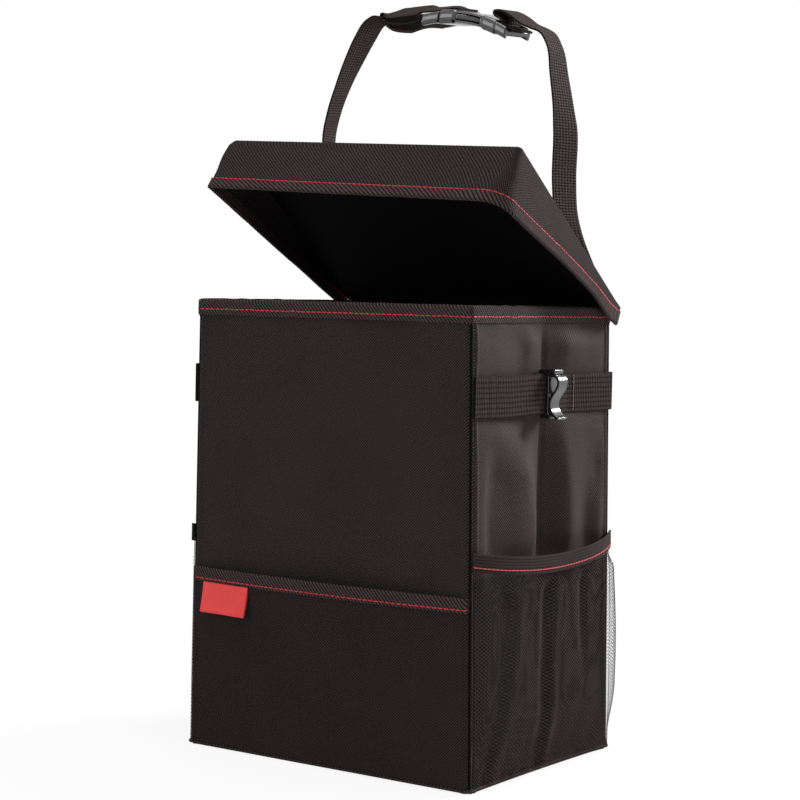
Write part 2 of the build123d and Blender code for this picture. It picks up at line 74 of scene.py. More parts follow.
wall_low, wall_high = span("front_panel")
half_width = wall_high.x
half_depth = -wall_low.y
wall_top = wall_high.z
cloth = 1.0
side_run = half_depth - cloth
box_round = 787
rim_low, rim_top = heights("rim_binding")
fold_full = 12.0
fold_floor = 1.0
fold_height = 120.0
foot_spread = 1.5
right_draw = 6.5
pocket_floor, pocket_top = heights("front_pocket")
strap_width = 25.0
strap_thick = 1.5
side_strap_middle = heights("right_side_strap")[0] + strap_width / 2
elastic_height = 11.0
elastic_sag = 7.0
net_end = heights("right_pocket_elastic")[1] - elastic_height
both_sides = ((1, "right"), (-1, "left"))

# Corner seams: a welt beside a groove
welt_height = 0.7
welt_from_edge = 4.5
welt_spread = 1.3
groove_depth = 1.6
groove_floor = 1.2
groove_slope = 2.0

# Thread sizes
stitch_pitch = 4.1
stitch_length = 3.7
thread = 0.85
thread_flat = 0.8
stitch_waver = 0.08

# Angles in degrees past which an edge of cloth or of a moulding stays sharp
sharp_fold = 50
sharp_edge = 40


# Small helpers for shaping cloth
def ease(share):
    """Smooth step from 0 to 1."""
    share = min(1.0, max(0.0, share))
    return share * share * (3 - 2 * share)


def hump(place, middle, spread):
    """Rounded hump of height 1."""
    return math.exp(-(((place - middle) / spread) ** 2))


def crumple(a, b, grain, seed):
    """Slow random waver of cloth, between about -1 and 1."""
    return noise.noise(Vector((a / grain, b / grain, seed)))


def even(share):
    """Rows spaced evenly."""
    return share


def to_edges(share):
    """Rows drawn closer together towards both edges, where the seams are."""
    s = 2 * share - 1
    return (1.5 * s - 0.5 * s**3 + 1) / 2


def seam_ridge(edge):
    """Low welt beside a corner seam, and the seam's groove, at a distance from the cloth's edge."""
    groove = groove_depth * (1 - ease((edge - groove_floor) / groove_slope))
    return welt_height * hump(edge, welt_from_edge, welt_spread) - groove


def corner_welt(edge, z):
    """The same ridge, ending under the rim tape."""
    return seam_ridge(edge) * ease((rim_low - z) / 3 + 0.5)


def blend_curve(a, b, out, into, t):
    """Curve from a to b that leaves and arrives at given rates."""
    place = a * (1 + 2 * t) * (1 - t) ** 2 + b * t * t * (3 - 2 * t)
    return place + (out * t * (1 - t) ** 2 - into * t * t * (1 - t))


def fair(points, place):
    """Fair curve through a few points of place and height."""
    last = len(points) - 1
    place = min(points[last][0], max(points[0][0], place))
    at = min(last - 1, max(0, bisect_right([point[0] for point in points], place) - 1))
    (a, low), (b, high) = points[at], points[at + 1]

    def slope(i):
        before, after = points[max(0, i - 1)], points[min(last, i + 1)]
        return (after[1] - before[1]) / (after[0] - before[0])

    run = b - a
    return blend_curve(low, high, slope(at) * run, slope(at + 1) * run, (place - a) / run)


def settle(x, y, z):
    """Sideways shift of the soft box: its foot spreads and its right corners draw in towards the rim."""
    rise = min(1.0, z / wall_top)
    left = -foot_spread + foot_spread * rise
    right = foot_spread - right_draw * rise
    corner = min(1.0, abs(y) / half_depth) ** 2
    return corner * (left + (right - left) * (x + half_width) / (2 * half_width))


def leaning(place):
    """The same sheet, laid on the leaning box."""

    def laid(u, v):
        x, y, z = place(u, v)
        return (x + settle(x, y, z), y, z)

    return laid


def begin():
    """Leave nothing selected before a new piece is made."""
    bpy.ops.object.select_all(action="DESELECT")


def pick(piece):
    """Make a piece the active one, and the only one selected."""
    begin()
    piece.select_set(True)
    bpy.context.view_layer.objects.active = piece


def link_new(name, data):
    """New object with its data, linked into the scene."""
    made = bpy.data.objects.new(name, data)
    bpy.context.collection.objects.link(made)
    return made


def mesh_piece(name, points, faces):
    """Smooth piece made of points and faces."""
    mesh = bpy.data.meshes.new(name)
    mesh.from_pydata(points, [], faces)
    mesh.shade_smooth()
    return link_new(name, mesh)


def edit(operator, **settings):
    """Run a mesh operator on the whole of the active piece."""
    bpy.ops.object.mode_set(mode="EDIT")
    bpy.ops.mesh.select_all(action="SELECT")
    operator(**settings)
    bpy.ops.object.mode_set(mode="OBJECT")


def smooth(sharp):
    """Shade the active piece smooth, but for edges past an angle in degrees."""
    bpy.ops.object.shade_smooth_by_angle(angle=math.radians(sharp))


def apply_modifier(piece, kind, **settings):
    """Add a modifier to a piece and apply it."""
    bpy.context.view_layer.objects.active = piece
    bpy.ops.object.modifier_add(type=kind)
    modifier = piece.modifiers[-1]
    for key, value in settings.items():
        setattr(modifier, key, value)
    bpy.ops.object.modifier_apply(modifier=modifier.name)


def cloth_sheet(name, place, steps, size, thick, spread=(even, even), closed=False):
    """Woven sheet: a grid whose points are laid by place(u, v), thickened, its weave laid out in metres."""
    begin()
    bpy.ops.mesh.primitive_grid_add(x_subdivisions=steps[0], y_subdivisions=steps[1], size=2)
    piece = bpy.context.object
    piece.name = name
    mesh = piece.data
    mesh.name = name
    shares = []
    for vertex in mesh.vertices:
        u = spread[0](min(1.0, max(0.0, (vertex.co.x + 1) / 2)))
        v = spread[1](min(1.0, max(0.0, (vertex.co.y + 1) / 2)))
        shares.append((u, v))
        vertex.co = Vector(place(u, v)) * mm
    weave = mesh.uv_layers.active.data
    for loop in mesh.loops:
        u, v = shares[loop.vertex_index]
        weave[loop.index].uv = (u * size[0] * mm, v * size[1] * mm)
    if closed:
        edit(bpy.ops.mesh.remove_doubles, threshold=0.02 * mm)
    if thick:
        apply_modifier(piece, "SOLIDIFY", thickness=thick * mm, offset=0.0)
    smooth(sharp_fold)
    return piece


def surface_normal(place, u, v):
    """Direction square to a sheet at one spot."""
    step = 0.002
    across = Vector(place(min(1, u + step), v)) - Vector(place(max(0, u - step), v))
    along = Vector(place(u, min(1, v + step))) - Vector(place(u, max(0, v - step)))
    return across.cross(along).normalized()


def line_across(place, v, side=1, start=0.0, end=1.0, count=500):
    """Points and outward directions of a line along a sheet at a fixed v."""
    spots = [start + (end - start) * i / count for i in range(count + 1)]
    return [(Vector(place(u, v)), side * surface_normal(place, u, v)) for u in spots]


def make_stitch():
    """One stitch of thread, modelled once: a slim rounded rod along Z, with its parts in a set order."""
    begin()
    bpy.ops.mesh.primitive_uv_sphere_add(segments=8, ring_count=6, radius=0.5)
    rod = bpy.context.object
    spots = [vertex.co.copy() for vertex in rod.data.vertices]
    order = sorted(range(len(spots)), key=lambda i: spots[i][:])
    faces = []
    for polygon in rod.data.polygons:
        ring = [order.index(i) for i in polygon.vertices]
        first = ring.index(min(ring))
        faces.append(ring[first:] + ring[:first])
    bpy.data.objects.remove(rod)
    return [spots[i] for i in order], sorted(faces)


stitch_points, stitch_faces = make_stitch()


def stitch_row(name, lines, lift, pitch=stitch_pitch, length=stitch_length, width=thread):
    """Rows of stitches along lines of points with outward directions."""
    points, faces = [], []
    for line in lines:
        travelled = [0.0]
        for (a, _), (b, _) in zip(line, line[1:]):
            travelled.append(travelled[-1] + (b - a).length)
        count = max(1, round(travelled[-1] / pitch))
        gap = travelled[-1] / count
        spot = 0
        for stitch in range(count):
            middle = (stitch + 0.5) * gap
            while travelled[spot + 1] < middle and spot < len(line) - 2:
                spot += 1
            share = (middle - travelled[spot]) / max(1e-6, travelled[spot + 1] - travelled[spot])
            (a, out_a), (b, out_b) = line[spot], line[spot + 1]
            out = out_a.lerp(out_b, share).normalized()
            centre = a.lerp(b, share) + out * (lift + stitch_waver * crumple(middle, stitch, 3.1, 5.0))
            heading = (b - a).normalized()
            aside = out.cross(heading).normalized()
            heading = (heading + aside * stitch_waver * crumple(middle, stitch, 2.3, 9.0)).normalized()
            long = length * gap / pitch
            base = len(points)
            for point in stitch_points:
                place = centre + heading * point.z * long + aside * point.x * width
                points.append((place + out * point.y * width * thread_flat) * mm)
            faces += [tuple(base + i for i in face) for face in stitch_faces]
    return mesh_piece(name, points, faces)


# Material building
def feed(tree, made, sockets):
    """Set or link a node's sockets."""
    for key, value in sockets.items():
        if isinstance(value, bpy.types.NodeSocket):
            tree.links.new(value, made.inputs[key])
        else:
            made.inputs[key].default_value = value


def put(tree, kind, sockets, **settings):
    """Add a node with its sockets set or linked."""
    made = tree.nodes.new(kind)
    for key, value in settings.items():
        setattr(made, key, value)
    feed(tree, made, sockets)
    return made


def calc(tree, operation, *values):
    """Math node on sockets or numbers."""
    return put(tree, "ShaderNodeMath", dict(enumerate(values)), operation=operation).outputs[0]


def ripple(tree, place):
    """Row of rounded ridges, one to each whole number."""
    return calc(tree, "ABSOLUTE", calc(tree, "SINE", calc(tree, "MULTIPLY", place, math.pi)))


def speckle(tree, vector, scale, detail, rough=0.5):
    """Random texture over a surface."""
    sockets = {"Vector": vector, "Scale": scale, "Detail": detail, "Roughness": rough}
    return put(tree, "ShaderNodeTexNoise", sockets).outputs[0]


def carry(tree, value, low, high, start=0.0, end=1.0):
    """Value carried from the range start to end into the range low to high."""
    sockets = {"Value": value, "From Min": start, "From Max": end, "To Min": low, "To Max": high}
    return put(tree, "ShaderNodeMapRange", sockets).outputs[0]


def mix(tree, factor, a, b, blend="MIX"):
    """Colour mixed from two others."""
    sockets = {"Factor": factor, "A": a, "B": b}
    return put(tree, "ShaderNodeMix", sockets, data_type="RGBA", blend_type=blend).outputs["Result"]


def new_group(name, inputs, outputs):
    """Shader group that takes a vector and numbers, and gives numbers."""
    tree = bpy.data.node_groups.new(name, "ShaderNodeTree")
    tree.interface.new_socket(name="Vector", in_out="INPUT", socket_type="NodeSocketVector")
    for label in inputs:
        tree.interface.new_socket(name=label, in_out="INPUT", socket_type="NodeSocketFloat")
    for label in outputs:
        tree.interface.new_socket(name=label, in_out="OUTPUT", socket_type="NodeSocketFloat")
    return tree, tree.nodes.new("NodeGroupInput").outputs, tree.nodes.new("NodeGroupOutput")


def make_weave():
    """Ribs of yarn crossed by finer yarn, turned to any angle, with a little fuzz."""
    numbers = ("Rib Pitch", "Rib Turn", "Cross Pitch", "Cross Depth", "Stagger", "Fuzz")
    tree, given, result = new_group("woven_yarn", numbers, ("Height", "Tone"))
    vector = given["Vector"]
    rotation = {"Vector": vector, "Angle": given["Rib Turn"]}
    turned = put(tree, "ShaderNodeVectorRotate", rotation, rotation_type="Z_AXIS").outputs[0]
    parts = put(tree, "ShaderNodeSeparateXYZ", {"Vector": turned}).outputs
    drift = calc(tree, "MULTIPLY", calc(tree, "SUBTRACT", speckle(tree, vector, 160.0, 2.0), 0.5), 0.5)
    rib_at = calc(tree, "ADD", calc(tree, "DIVIDE", parts["X"], given["Rib Pitch"]), drift)
    rib = calc(tree, "POWER", ripple(tree, rib_at), 0.7)
    stagger = calc(tree, "MULTIPLY", calc(tree, "FLOOR", rib_at), given["Stagger"])
    cross_at = calc(tree, "ADD", calc(tree, "DIVIDE", parts["Y"], given["Cross Pitch"]), stagger)
    gap = calc(tree, "SUBTRACT", 1.0, ripple(tree, cross_at))
    sunk = calc(tree, "MULTIPLY", gap, given["Cross Depth"])
    yarn = calc(tree, "MULTIPLY", rib, calc(tree, "SUBTRACT", 1.0, sunk))
    lint = calc(tree, "SUBTRACT", speckle(tree, vector, 1300.0, 3.0), 0.5)
    height = calc(tree, "ADD", yarn, calc(tree, "MULTIPLY", lint, given["Fuzz"]))
    feed(tree, result, {"Height": height, "Tone": calc(tree, "MULTIPLY", height, height)})
    return tree


def make_handling():
    """Slow patches where a surface has been brushed and handled."""
    tree, given, result = new_group("handled_patches", ("Size",), ("Mask",))
    patches = speckle(tree, given["Vector"], calc(tree, "DIVIDE", 1.0, given["Size"]), 4.0, 0.6)
    feed(tree, result, {"Mask": carry(tree, patches, 0.0, 1.0, 0.3, 0.7)})
    return tree


weave_group = make_weave()
handling_group = make_handling()


def handled(tree, where, size):
    """Mask of handled patches of about a size in metres."""
    sockets = {"Vector": where, "Size": size}
    return put(tree, "ShaderNodeGroup", sockets, node_tree=handling_group).outputs["Mask"]


def new_material(name):
    """Empty material with its shader."""
    material = bpy.data.materials.new(name)
    material.use_nodes = True
    tree = material.node_tree
    return material, tree, tree.nodes["Principled BSDF"]


def colour(red, green, blue):
    """Colour with full alpha."""
    return (red, green, blue, 1.0)


brushed_tint = colour(1.25, 1.22, 1.2)
sheen_tint = colour(0.95, 0.82, 0.82)


def woven_material(
    name, dark, light, rib, turn, cross, depth, fuzz, bump, rough,
    sheen=0.01, gloss=0.05, coords="UV", stagger=0.5, painted_shade_height=0,
):
    """Cloth of ribs and cross yarn, in millimetres and degrees, with painted shade below a given height."""
    material, tree, shader = new_material(name)
    where = put(tree, "ShaderNodeTexCoord", {}).outputs[coords]
    values = {
        "Vector": where,
        "Rib Pitch": rib * mm,
        "Rib Turn": math.radians(turn),
        "Cross Pitch": cross * mm,
        "Cross Depth": depth,
        "Stagger": stagger,
        "Fuzz": fuzz,
    }
    weave = put(tree, "ShaderNodeGroup", values, node_tree=weave_group).outputs
    shade = mix(tree, weave["Tone"], colour(*dark), colour(*light))
    shade = mix(tree, handled(tree, where, 0.05), shade, brushed_tint, "MULTIPLY")
    # Painted shade: below the given height the colour is darkened, standing in for the shadow of a net
    # pocket.
    if painted_shade_height:
        height = put(tree, "ShaderNodeSeparateXYZ", {"Vector": where}).outputs["Y"]
        painted_shade_factor = carry(tree, height, 0.2, 1.0, (painted_shade_height - 5) * mm, painted_shade_height * mm)
        shade = mix(tree, 1.0, shade, painted_shade_factor, "MULTIPLY")
    raised = put(tree, "ShaderNodeBump", {"Height": weave["Height"], "Distance": bump * mm})
    looks = {
        "Base Color": shade,
        "Roughness": carry(tree, weave["Tone"], min(1.0, rough + 0.1), rough),
        "Normal": raised.outputs[0],
        "Sheen Weight": sheen,
        "Sheen Roughness": 0.45,
        "Sheen Tint": sheen_tint,
        "Specular IOR Level": gloss,
    }
    feed(tree, shader, looks)
    return material


twill = {"rib": 1.3, "turn": 45, "cross": 1.3, "depth": 0.55, "fuzz": 0.8, "bump": 0.3, "rough": 0.8}
spun = {"rib": 0.35, "turn": 35, "cross": 0.5, "depth": 0.3, "fuzz": 0.4, "bump": 0.06, "rough": 0.5}
front_cloth = woven_material("front_twill", (0.005, 0.0038, 0.004), (0.062, 0.0472, 0.049), **twill)
# Darker copy of the front twill: painted shade for the front pocket, which bows out and faces a little
# downward.
pocket_shade_cloth = woven_material("pocket_twill_shaded", (0.004, 0.003, 0.003), (0.05, 0.0365, 0.037), **twill)
# The side cloth gets painted shade below its net pocket's elastic, where the net shades it.
side_cloth = woven_material(
    "side_satin", (0.01, 0.0073, 0.0075), (0.0716, 0.0516, 0.053),
    rib=1.4, turn=45, cross=1.4, depth=0.45, fuzz=0.8, bump=0.22, rough=0.6, painted_shade_height=net_end - 2,
)
tape_cloth = woven_material(
    "twill_tape", (0.003, 0.0022, 0.0023), (0.09, 0.063, 0.064),
    rib=2.0, turn=-40, cross=1.1, depth=0.3, fuzz=0.4, bump=0.6, rough=0.8,
)
webbing_cloth = woven_material(
    "ribbed_webbing", (0.0033, 0.0021, 0.002), (0.053, 0.034, 0.0325),
    rib=1.9, turn=0, cross=2.9, depth=0.62, fuzz=0.8, bump=0.5, rough=0.7, stagger=0.0,
)
net_cloth = woven_material(
    "knitted_net", (0.036, 0.027, 0.027), (0.15, 0.115, 0.112),
    rib=0.5, turn=0, cross=0.7, depth=0.5, fuzz=0.5, bump=0.1, rough=0.7, gloss=0.08, coords="Object",
)
elastic_cloth = woven_material(
    "ribbed_elastic", (0.011, 0.0083, 0.0081), (0.044, 0.034, 0.0325),
    rib=0.7, turn=0, cross=1.0, depth=0.35, fuzz=0.3, bump=0.12, rough=0.75,
)
lining_cloth = woven_material(
    "coated_lining", (0.0024, 0.002, 0.0021), (0.005, 0.0042, 0.0044),
    rib=0.6, turn=0, cross=0.6, depth=0.4, fuzz=0.3, bump=0.06, rough=0.85, sheen=0.0, gloss=0.06,
)
tag_cloth = woven_material(
    "red_satin_ribbon", (0.64, 0.034, 0.034), (0.85, 0.068, 0.064),
    rib=0.45, turn=90, cross=0.6, depth=0.35, fuzz=0.2, bump=0.06, rough=0.5, sheen=0.08, gloss=0.3,
)
red_thread = woven_material(
    "red_thread", (0.3, 0.008, 0.012), (0.7, 0.034, 0.04), **spun, sheen=0.08, gloss=0.3, coords="Object"
)
black_thread = woven_material(
    "black_thread", (0.05, 0.042, 0.042), (0.22, 0.19, 0.185), **spun, sheen=0.1, gloss=0.4, coords="Object"
)
board_sheet = woven_material(
    "stiff_board", (0.035, 0.034, 0.033), (0.055, 0.053, 0.051),
    rib=1.4, turn=0, cross=1.4, depth=0.4, fuzz=0.5, bump=0.05, rough=0.7,
    sheen=0.0, gloss=0.3, coords="Object",
)


def make_moulding():
    """Glossy black moulding with faint flow marks and rubbed patches."""
    material, tree, shader = new_material("gloss_moulding")
    where = put(tree, "ShaderNodeTexCoord", {}).outputs["Object"]
    rubbed = handled(tree, where, 0.006)
    flow = put(tree, "ShaderNodeBump", {"Height": speckle(tree, where, 900.0, 3.0), "Distance": 0.02 * mm})
    looks = {
        "Base Color": mix(tree, rubbed, colour(0.01, 0.01, 0.01), colour(0.018, 0.017, 0.017)),
        "Roughness": carry(tree, rubbed, 0.14, 0.24),
        "Normal": flow.outputs[0],
        "Specular IOR Level": 0.9,
    }
    feed(tree, shader, looks)
    return material


moulding = make_moulding()


def coat(piece, material, slot, *nodes):
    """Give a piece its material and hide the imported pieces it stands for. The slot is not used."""
    piece.data.materials.clear()
    piece.data.materials.append(material)
    if nodes:
        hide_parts(*nodes)
    return piece


def dress(piece, material, body, slot, *nodes):
    """Finish a piece and let it move with one body."""
    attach(coat(piece, material, slot, *nodes), body)
    return piece


def sew(name, lines, lift, material, body, slot, **sizes):
    """Stitch along lines, with thread that moves with one body."""
    dress(stitch_row(name, lines, lift, **sizes), material, body, slot)


# Front and back walls: boarded flat, with a raised welt down each corner
@leaning
def front_wall(u, v):
    """Front cloth, from its left edge and from the floor."""
    x = half_width * (2 * u - 1)
    z = wall_top * v
    welt = corner_welt(half_width - abs(x), z)
    bow = 0.35 * crumple(x, z, 70, 1.0) * ease((half_width - abs(x)) / 20)
    return (x, -half_depth + cloth / 2 - welt - bow, z)


@leaning
def back_wall(u, v):
    """Back cloth, seen from behind."""
    x = half_width * (1 - 2 * u)
    z = wall_top * v
    welt = corner_welt(half_width - abs(x), z) * ease((z - 3) / 3)
    bow = 0.3 * crumple(x, z, 80, 2.0) * ease((half_width - abs(x)) / 20)
    return (x, half_depth - cloth / 2 + welt + min(0.0, bow), z)


wall_size = (2 * half_width, wall_top)
for label, place in (("front", front_wall), ("back", back_wall)):
    wall = cloth_sheet(f"{label}_cloth", place, (90, 130), wall_size, cloth, (to_edges, even))
    dress(wall, front_cloth, "bin", "cloth", f"{label}_panel")

# Side walls: unboarded, creased inward behind the middle; folds are set at four heights, as place and depth
crease_at = 9.5
crease_sharp = 0.02
strip_hold = 19
side_folds = (
    (160, (
        (-83, 0), (-70, -0.2), (-61, 4.2), (-54, 5.3), (-18, 0.2), (-10, 0.9), (9.5, 11), (32, 1.4),
        (38, 1.0), (57, 4.4), (70, 0.2), (76, 0.2), (83, 0),
    )),
    (187, (
        (-83, 0), (-70, -0.2), (-59, 4.4), (-51, 5.5), (-24, 0.8), (-17, 1.2), (9.5, 11), (30, 2.6),
        (36, 1.8), (66, 3.0), (76, 0.5), (83, 0),
    )),
    (212, (
        (-83, 0), (-75, 0), (-60, 0.2), (-47, 0.8), (-14, 8.2), (9.5, 11), (28, 4.6), (36, 3.6),
        (60, 1.6), (83, 0),
    )),
    (271, (
        (-83, 0), (-74, 0.2), (-29, 8.0), (-21, 8.4), (-12, 6.6), (-6, 7.2), (9.5, 11), (30, 3.4),
        (36, 2.6), (60, 1.2), (83, 0),
    )),
)


def fold_at(z):
    """Full depth of a side's crease at a height."""
    return fold_floor + (fold_full - fold_floor) * ease(0.15 + 0.85 * z / fold_height)


def crease(y, sharp):
    """Depth of a side's crease across the bin: 1 at the crease, 0 at the seams."""
    away = y - crease_at
    share = min(1.0, abs(away) / (half_depth - math.copysign(crease_at, away)))
    return math.hypot(1, sharp) - math.hypot(share, sharp)


def side_depth(y, z):
    """How far behind the seams the loose side cloth lies."""
    levels = [fold[0] for fold in side_folds]
    at = min(len(levels) - 2, max(0, bisect_right(levels, z) - 1))
    (low, under), (high, over) = side_folds[at], side_folds[at + 1]
    share = min(1.0, max(0.0, (z - low) / (high - low)))
    notch = 1.6 * max(0.0, 1 - abs(y - crease_at) / 5)
    return fair(under, y) * (1 - share) + fair(over, y) * share + notch


def side_cloth_x(y, z, seed):
    """How far out the side cloth lies: straight at the rim, the strip and the floor, loose between them."""
    straight = fold_at(z) * crease(y, crease_sharp)
    held = hump(z, side_strap_middle, strip_hold)
    free = 1 - held
    loose = free * ease((rim_low - z) / 16) * ease((z - 105) / 45)
    wander = y + 3 * crumple(z, 0, 70, seed) * ease((side_run - abs(y)) / 30) * ease(abs(y - crease_at) / 20)
    depth = straight + (side_depth(wander, z) - straight) * loose
    depth -= 0.7 * crumple(y, z / 2.2, 22, seed + 3) * free * ease((side_run - abs(y)) / 9)
    depth += 0.8 * held * ease((-12 - y) / 14) * ease((side_run - abs(y)) / 8)
    return half_width - cloth / 2 - depth + corner_welt(side_run - abs(y), z)


def side_wall(side):
    """Right or left side cloth, seen from outside."""

    def place(u, v):
        y = side * side_run * (2 * u - 1)
        z = wall_top * v
        return (side * side_cloth_x(y, z, 11.0 + side), y, z)

    return leaning(place)


side_size = (2 * side_run, wall_top)
for side, label in both_sides:
    wall = cloth_sheet(f"{label}_side_cloth", side_wall(side), (190, 130), side_size, cloth, (to_edges, even))
    dress(wall, side_cloth, "bin", "side_cloth", f"{label}_side_panel")


# Strips sunk in the groove down each corner: near-black at the front as painted shade of the groove, wall
# cloth at the back
seam_half = 1.6


def corner_seam(side, end):
    """Strip in the groove of one corner, right or left and back or front, from the floor to the rim."""

    def place(u, v):
        leg = seam_half * (2 * u - 1)
        x = half_width - 1.0 + min(0.0, leg)
        y = half_depth - 1.0 - max(0.0, leg)
        return (side * x, end * y, 1.5 + (rim_low - 0.5) * v)

    return leaning(place)


# The front strips' near-black lining is painted shade in the corner groove.
for end, row, groove_strip_cloth in ((-1, "front", lining_cloth), (1, "back", front_cloth)):
    for side, label in both_sides:
        seam = cloth_sheet(f"{row}_{label}_seam", corner_seam(side, end), (4, 80), (4, wall_top), thick=0.4)
        dress(seam, groove_strip_cloth, "bin", "edge_tape")


# Base cloth and the corded seam round it
base_high = span("base_panel")[1]


@leaning
def base_sheet(u, v):
    """Underside of the bin, drawn up a little towards its seams."""
    x = base_high.x * (2 * u - 1)
    y = base_high.y * (2 * v - 1)
    lift = 0.25 + 0.25 * crumple(x, y, 40, 4.0)
    edge = min(base_high.x - abs(x), base_high.y - abs(y))
    return (x, y, cloth / 2 + lift * ease(edge / 25))


base = cloth_sheet("base_cloth", base_sheet, (60, 50), (2 * base_high.x, 2 * base_high.y), cloth)
dress(base, front_cloth, "bin", "cloth", "base_panel")


def stretch_at(share, stretches):
    """Which stretch of a line a share of it falls in, and how far along that stretch."""
    at = 0
    while at < len(stretches) - 1 and share > stretches[at]:
        share -= stretches[at]
        at += 1
    return at, min(1.0, share / stretches[at])


# Shares of a rounded box's line: front, corner, side, corner, back, corner, side and corner
box_stretches = (0.268, 0.009, 0.214, 0.009) * 2


def rounded_box(half_x, half_y, corner, share):
    """Point and outward direction along a rounded rectangle: front, right, back and left."""
    at, part = stretch_at(share % 1.0 if share < 1 else 1.0, box_stretches)
    flat_x, flat_y = half_x - corner, half_y - corner
    if at % 2 == 0:
        run = 2 * part - 1
        return (
            (run * flat_x, -half_y, 0, -1),
            (half_x, run * flat_y, 1, 0),
            (-run * flat_x, half_y, 0, 1),
            (-half_x, -run * flat_y, -1, 0),
        )[at // 2]
    turn = math.radians(90 * (part + at // 2)) - math.pi / 2
    out_x, out_y = math.cos(turn), math.sin(turn)
    middle_x, middle_y = ((flat_x, -flat_y), (flat_x, flat_y), (-flat_x, flat_y), (-flat_x, -flat_y))[at // 2]
    return (middle_x + corner * out_x, middle_y + corner * out_y, out_x, out_y)


piping_low, piping_high = heights("base_piping")
piping_middle = (piping_low + piping_high) / 2
piping_round = (piping_high - piping_low) / 2


@leaning
def base_cord(u, v):
    """Corded seam that runs round the foot of the walls."""
    turn = 2 * math.pi * v
    x, y, out_x, out_y = rounded_box(half_width + 0.2, half_depth + 0.2, 2.0, u)
    out = piping_round * math.cos(turn)
    return (x + out * out_x, y + out * out_y, piping_middle + piping_round * math.sin(turn))


cord = cloth_sheet("base_seam", base_cord, (520, 10), (box_round, 8), thick=0, closed=True)
dress(cord, tape_cloth, "bin", "edge_tape", "base_piping")


# Liner bag, seen through the open lid
@leaning
def liner_bag(u, v):
    """Waterproof bag inside the walls, closed over the floor."""
    wall = min(1.0, v / 0.8)
    floor = max(0.0, (v - 0.8) / 0.2)
    z = wall_top - 0.8 - (wall_top - 5.0) * wall
    x, y = rounded_box(half_width - 2.2, half_depth - 4.3, 3.0, u)[:2]
    sides = ease((abs(x) - 90) / 12)
    inward = fold_at(z) * crease(y, crease_sharp) * sides
    inward += (0.6 + 0.6 * crumple(x + y, z, 22, 6.0)) * ease(wall * 8) * ease((1 - wall) * 12)
    x -= math.copysign(inward * sides, x)
    y -= math.copysign(inward * (1 - sides) * 0.4, y)
    return (x * (1 - floor), y * (1 - floor), z + 0.2 * floor)


bag = cloth_sheet("liner_bag", liner_bag, (240, 110), (740, 380), thick=0.5, closed=True)
dress(bag, lining_cloth, "bin", "liner", "liner")


# Rim tape, folded over the top of the walls
def over_edge(share, low, top, height):
    """Section of a folded tape: outer face, fold and inner face. Gives inward share, and height."""
    face = 0.42
    if share < face:
        return 0.0, low + (top - height - low) * share / face
    if share > 1 - face:
        return 1.0, low + (top - height - low) * (1 - share) / face
    turn = math.pi * (share - face) / (1 - 2 * face)
    return (1 - math.cos(turn)) / 2, top - height + height * math.sin(turn)


@leaning
def rim_tape(u, v):
    """Twill tape round the rim, pushed in with the sides' creases."""
    inward, z = over_edge(v, rim_low, rim_top - 0.3, 1.6)
    outer = rounded_box(half_width + 0.45, half_depth + 0.45, 2.6, u)
    inner = rounded_box(half_width - 2.6, half_depth - 4.5, 1.6, u)
    x = outer[0] + (inner[0] - outer[0]) * inward
    y = outer[1] + (inner[1] - outer[1]) * inward
    x -= math.copysign(fold_full * max(0.0, crease(y, 0.04)), x)
    lump = 0.35 * crumple(x + y, z / 4, 9, 7.0)
    sides = ease((abs(x) - 94) / 8)
    x += math.copysign(lump * sides * (1 - inward), x)
    return (x, y - lump * (1 - sides) * (1 - inward) * 0.5, z + lump)


rim = cloth_sheet("rim_tape", rim_tape, (640, 26), (box_round, 24), thick=0.8, closed=True)
dress(rim, tape_cloth, "bin", "edge_tape", "rim_binding")
sew("rim_stitches", [line_across(rim_tape, 0.18, count=1600)], 0.4, red_thread, "bin", "edge_tape")


# Front pocket with its hem tape and tag, sewn in short of the corners
sewn_half = half_width - 1.3


def pocket_out(x, z):
    """How far in front of the wall the pocket's cloth stands."""
    bow = 0.5 + 6.5 * (z / pocket_top) ** 1.15
    seam = half_width - abs(x)
    sway = 0.5 * crumple(x, z, 34, 8.0) * ease(seam / 25) * ease(z / 30)
    return 1.1 + bow * (1 - (x / half_width) ** 2) + sway + 0.8 * seam_ridge(seam)


@leaning
def front_pocket(u, v):
    """Pocket cloth from the base seam to the hem, sewn into the corner grooves."""
    x = sewn_half * (2 * u - 1)
    z = pocket_floor + (pocket_top - pocket_floor) * v
    return (x, -half_depth - pocket_out(x, z), z)


hem_low, hem_top = heights("front_pocket_binding")


@leaning
def hem_tape(u, v):
    """Tape folded over the pocket's open edge."""
    x = sewn_half * (2 * u - 1)
    inward, z = over_edge(v, hem_low, hem_top - 0.2, 0.9)
    lump = 0.15 * crumple(x, z, 7, 12.0)
    return (x, -half_depth - pocket_out(x, min(z, pocket_top)) - 0.85 + 1.6 * inward - lump, z + lump)


pocket_size = (2 * half_width, pocket_top - pocket_floor)
pocket = cloth_sheet("front_pocket_cloth", front_pocket, (90, 60), pocket_size, cloth, (to_edges, even))
dress(pocket, pocket_shade_cloth, "bin", "cloth", "front_pocket")
hem = cloth_sheet("pocket_hem", hem_tape, (200, 20), (2 * half_width, 20), thick=0.5)
dress(hem, tape_cloth, "bin", "edge_tape", "front_pocket_binding")
sew("pocket_stitches", [line_across(hem_tape, 0.1)], 0.3, red_thread, "bin", "edge_tape")

tag_low, tag_high = span("red_tag")
tag_middle = (tag_low.x + tag_high.x) / 2
tag_half = 19.6
tag_drop = 19.0


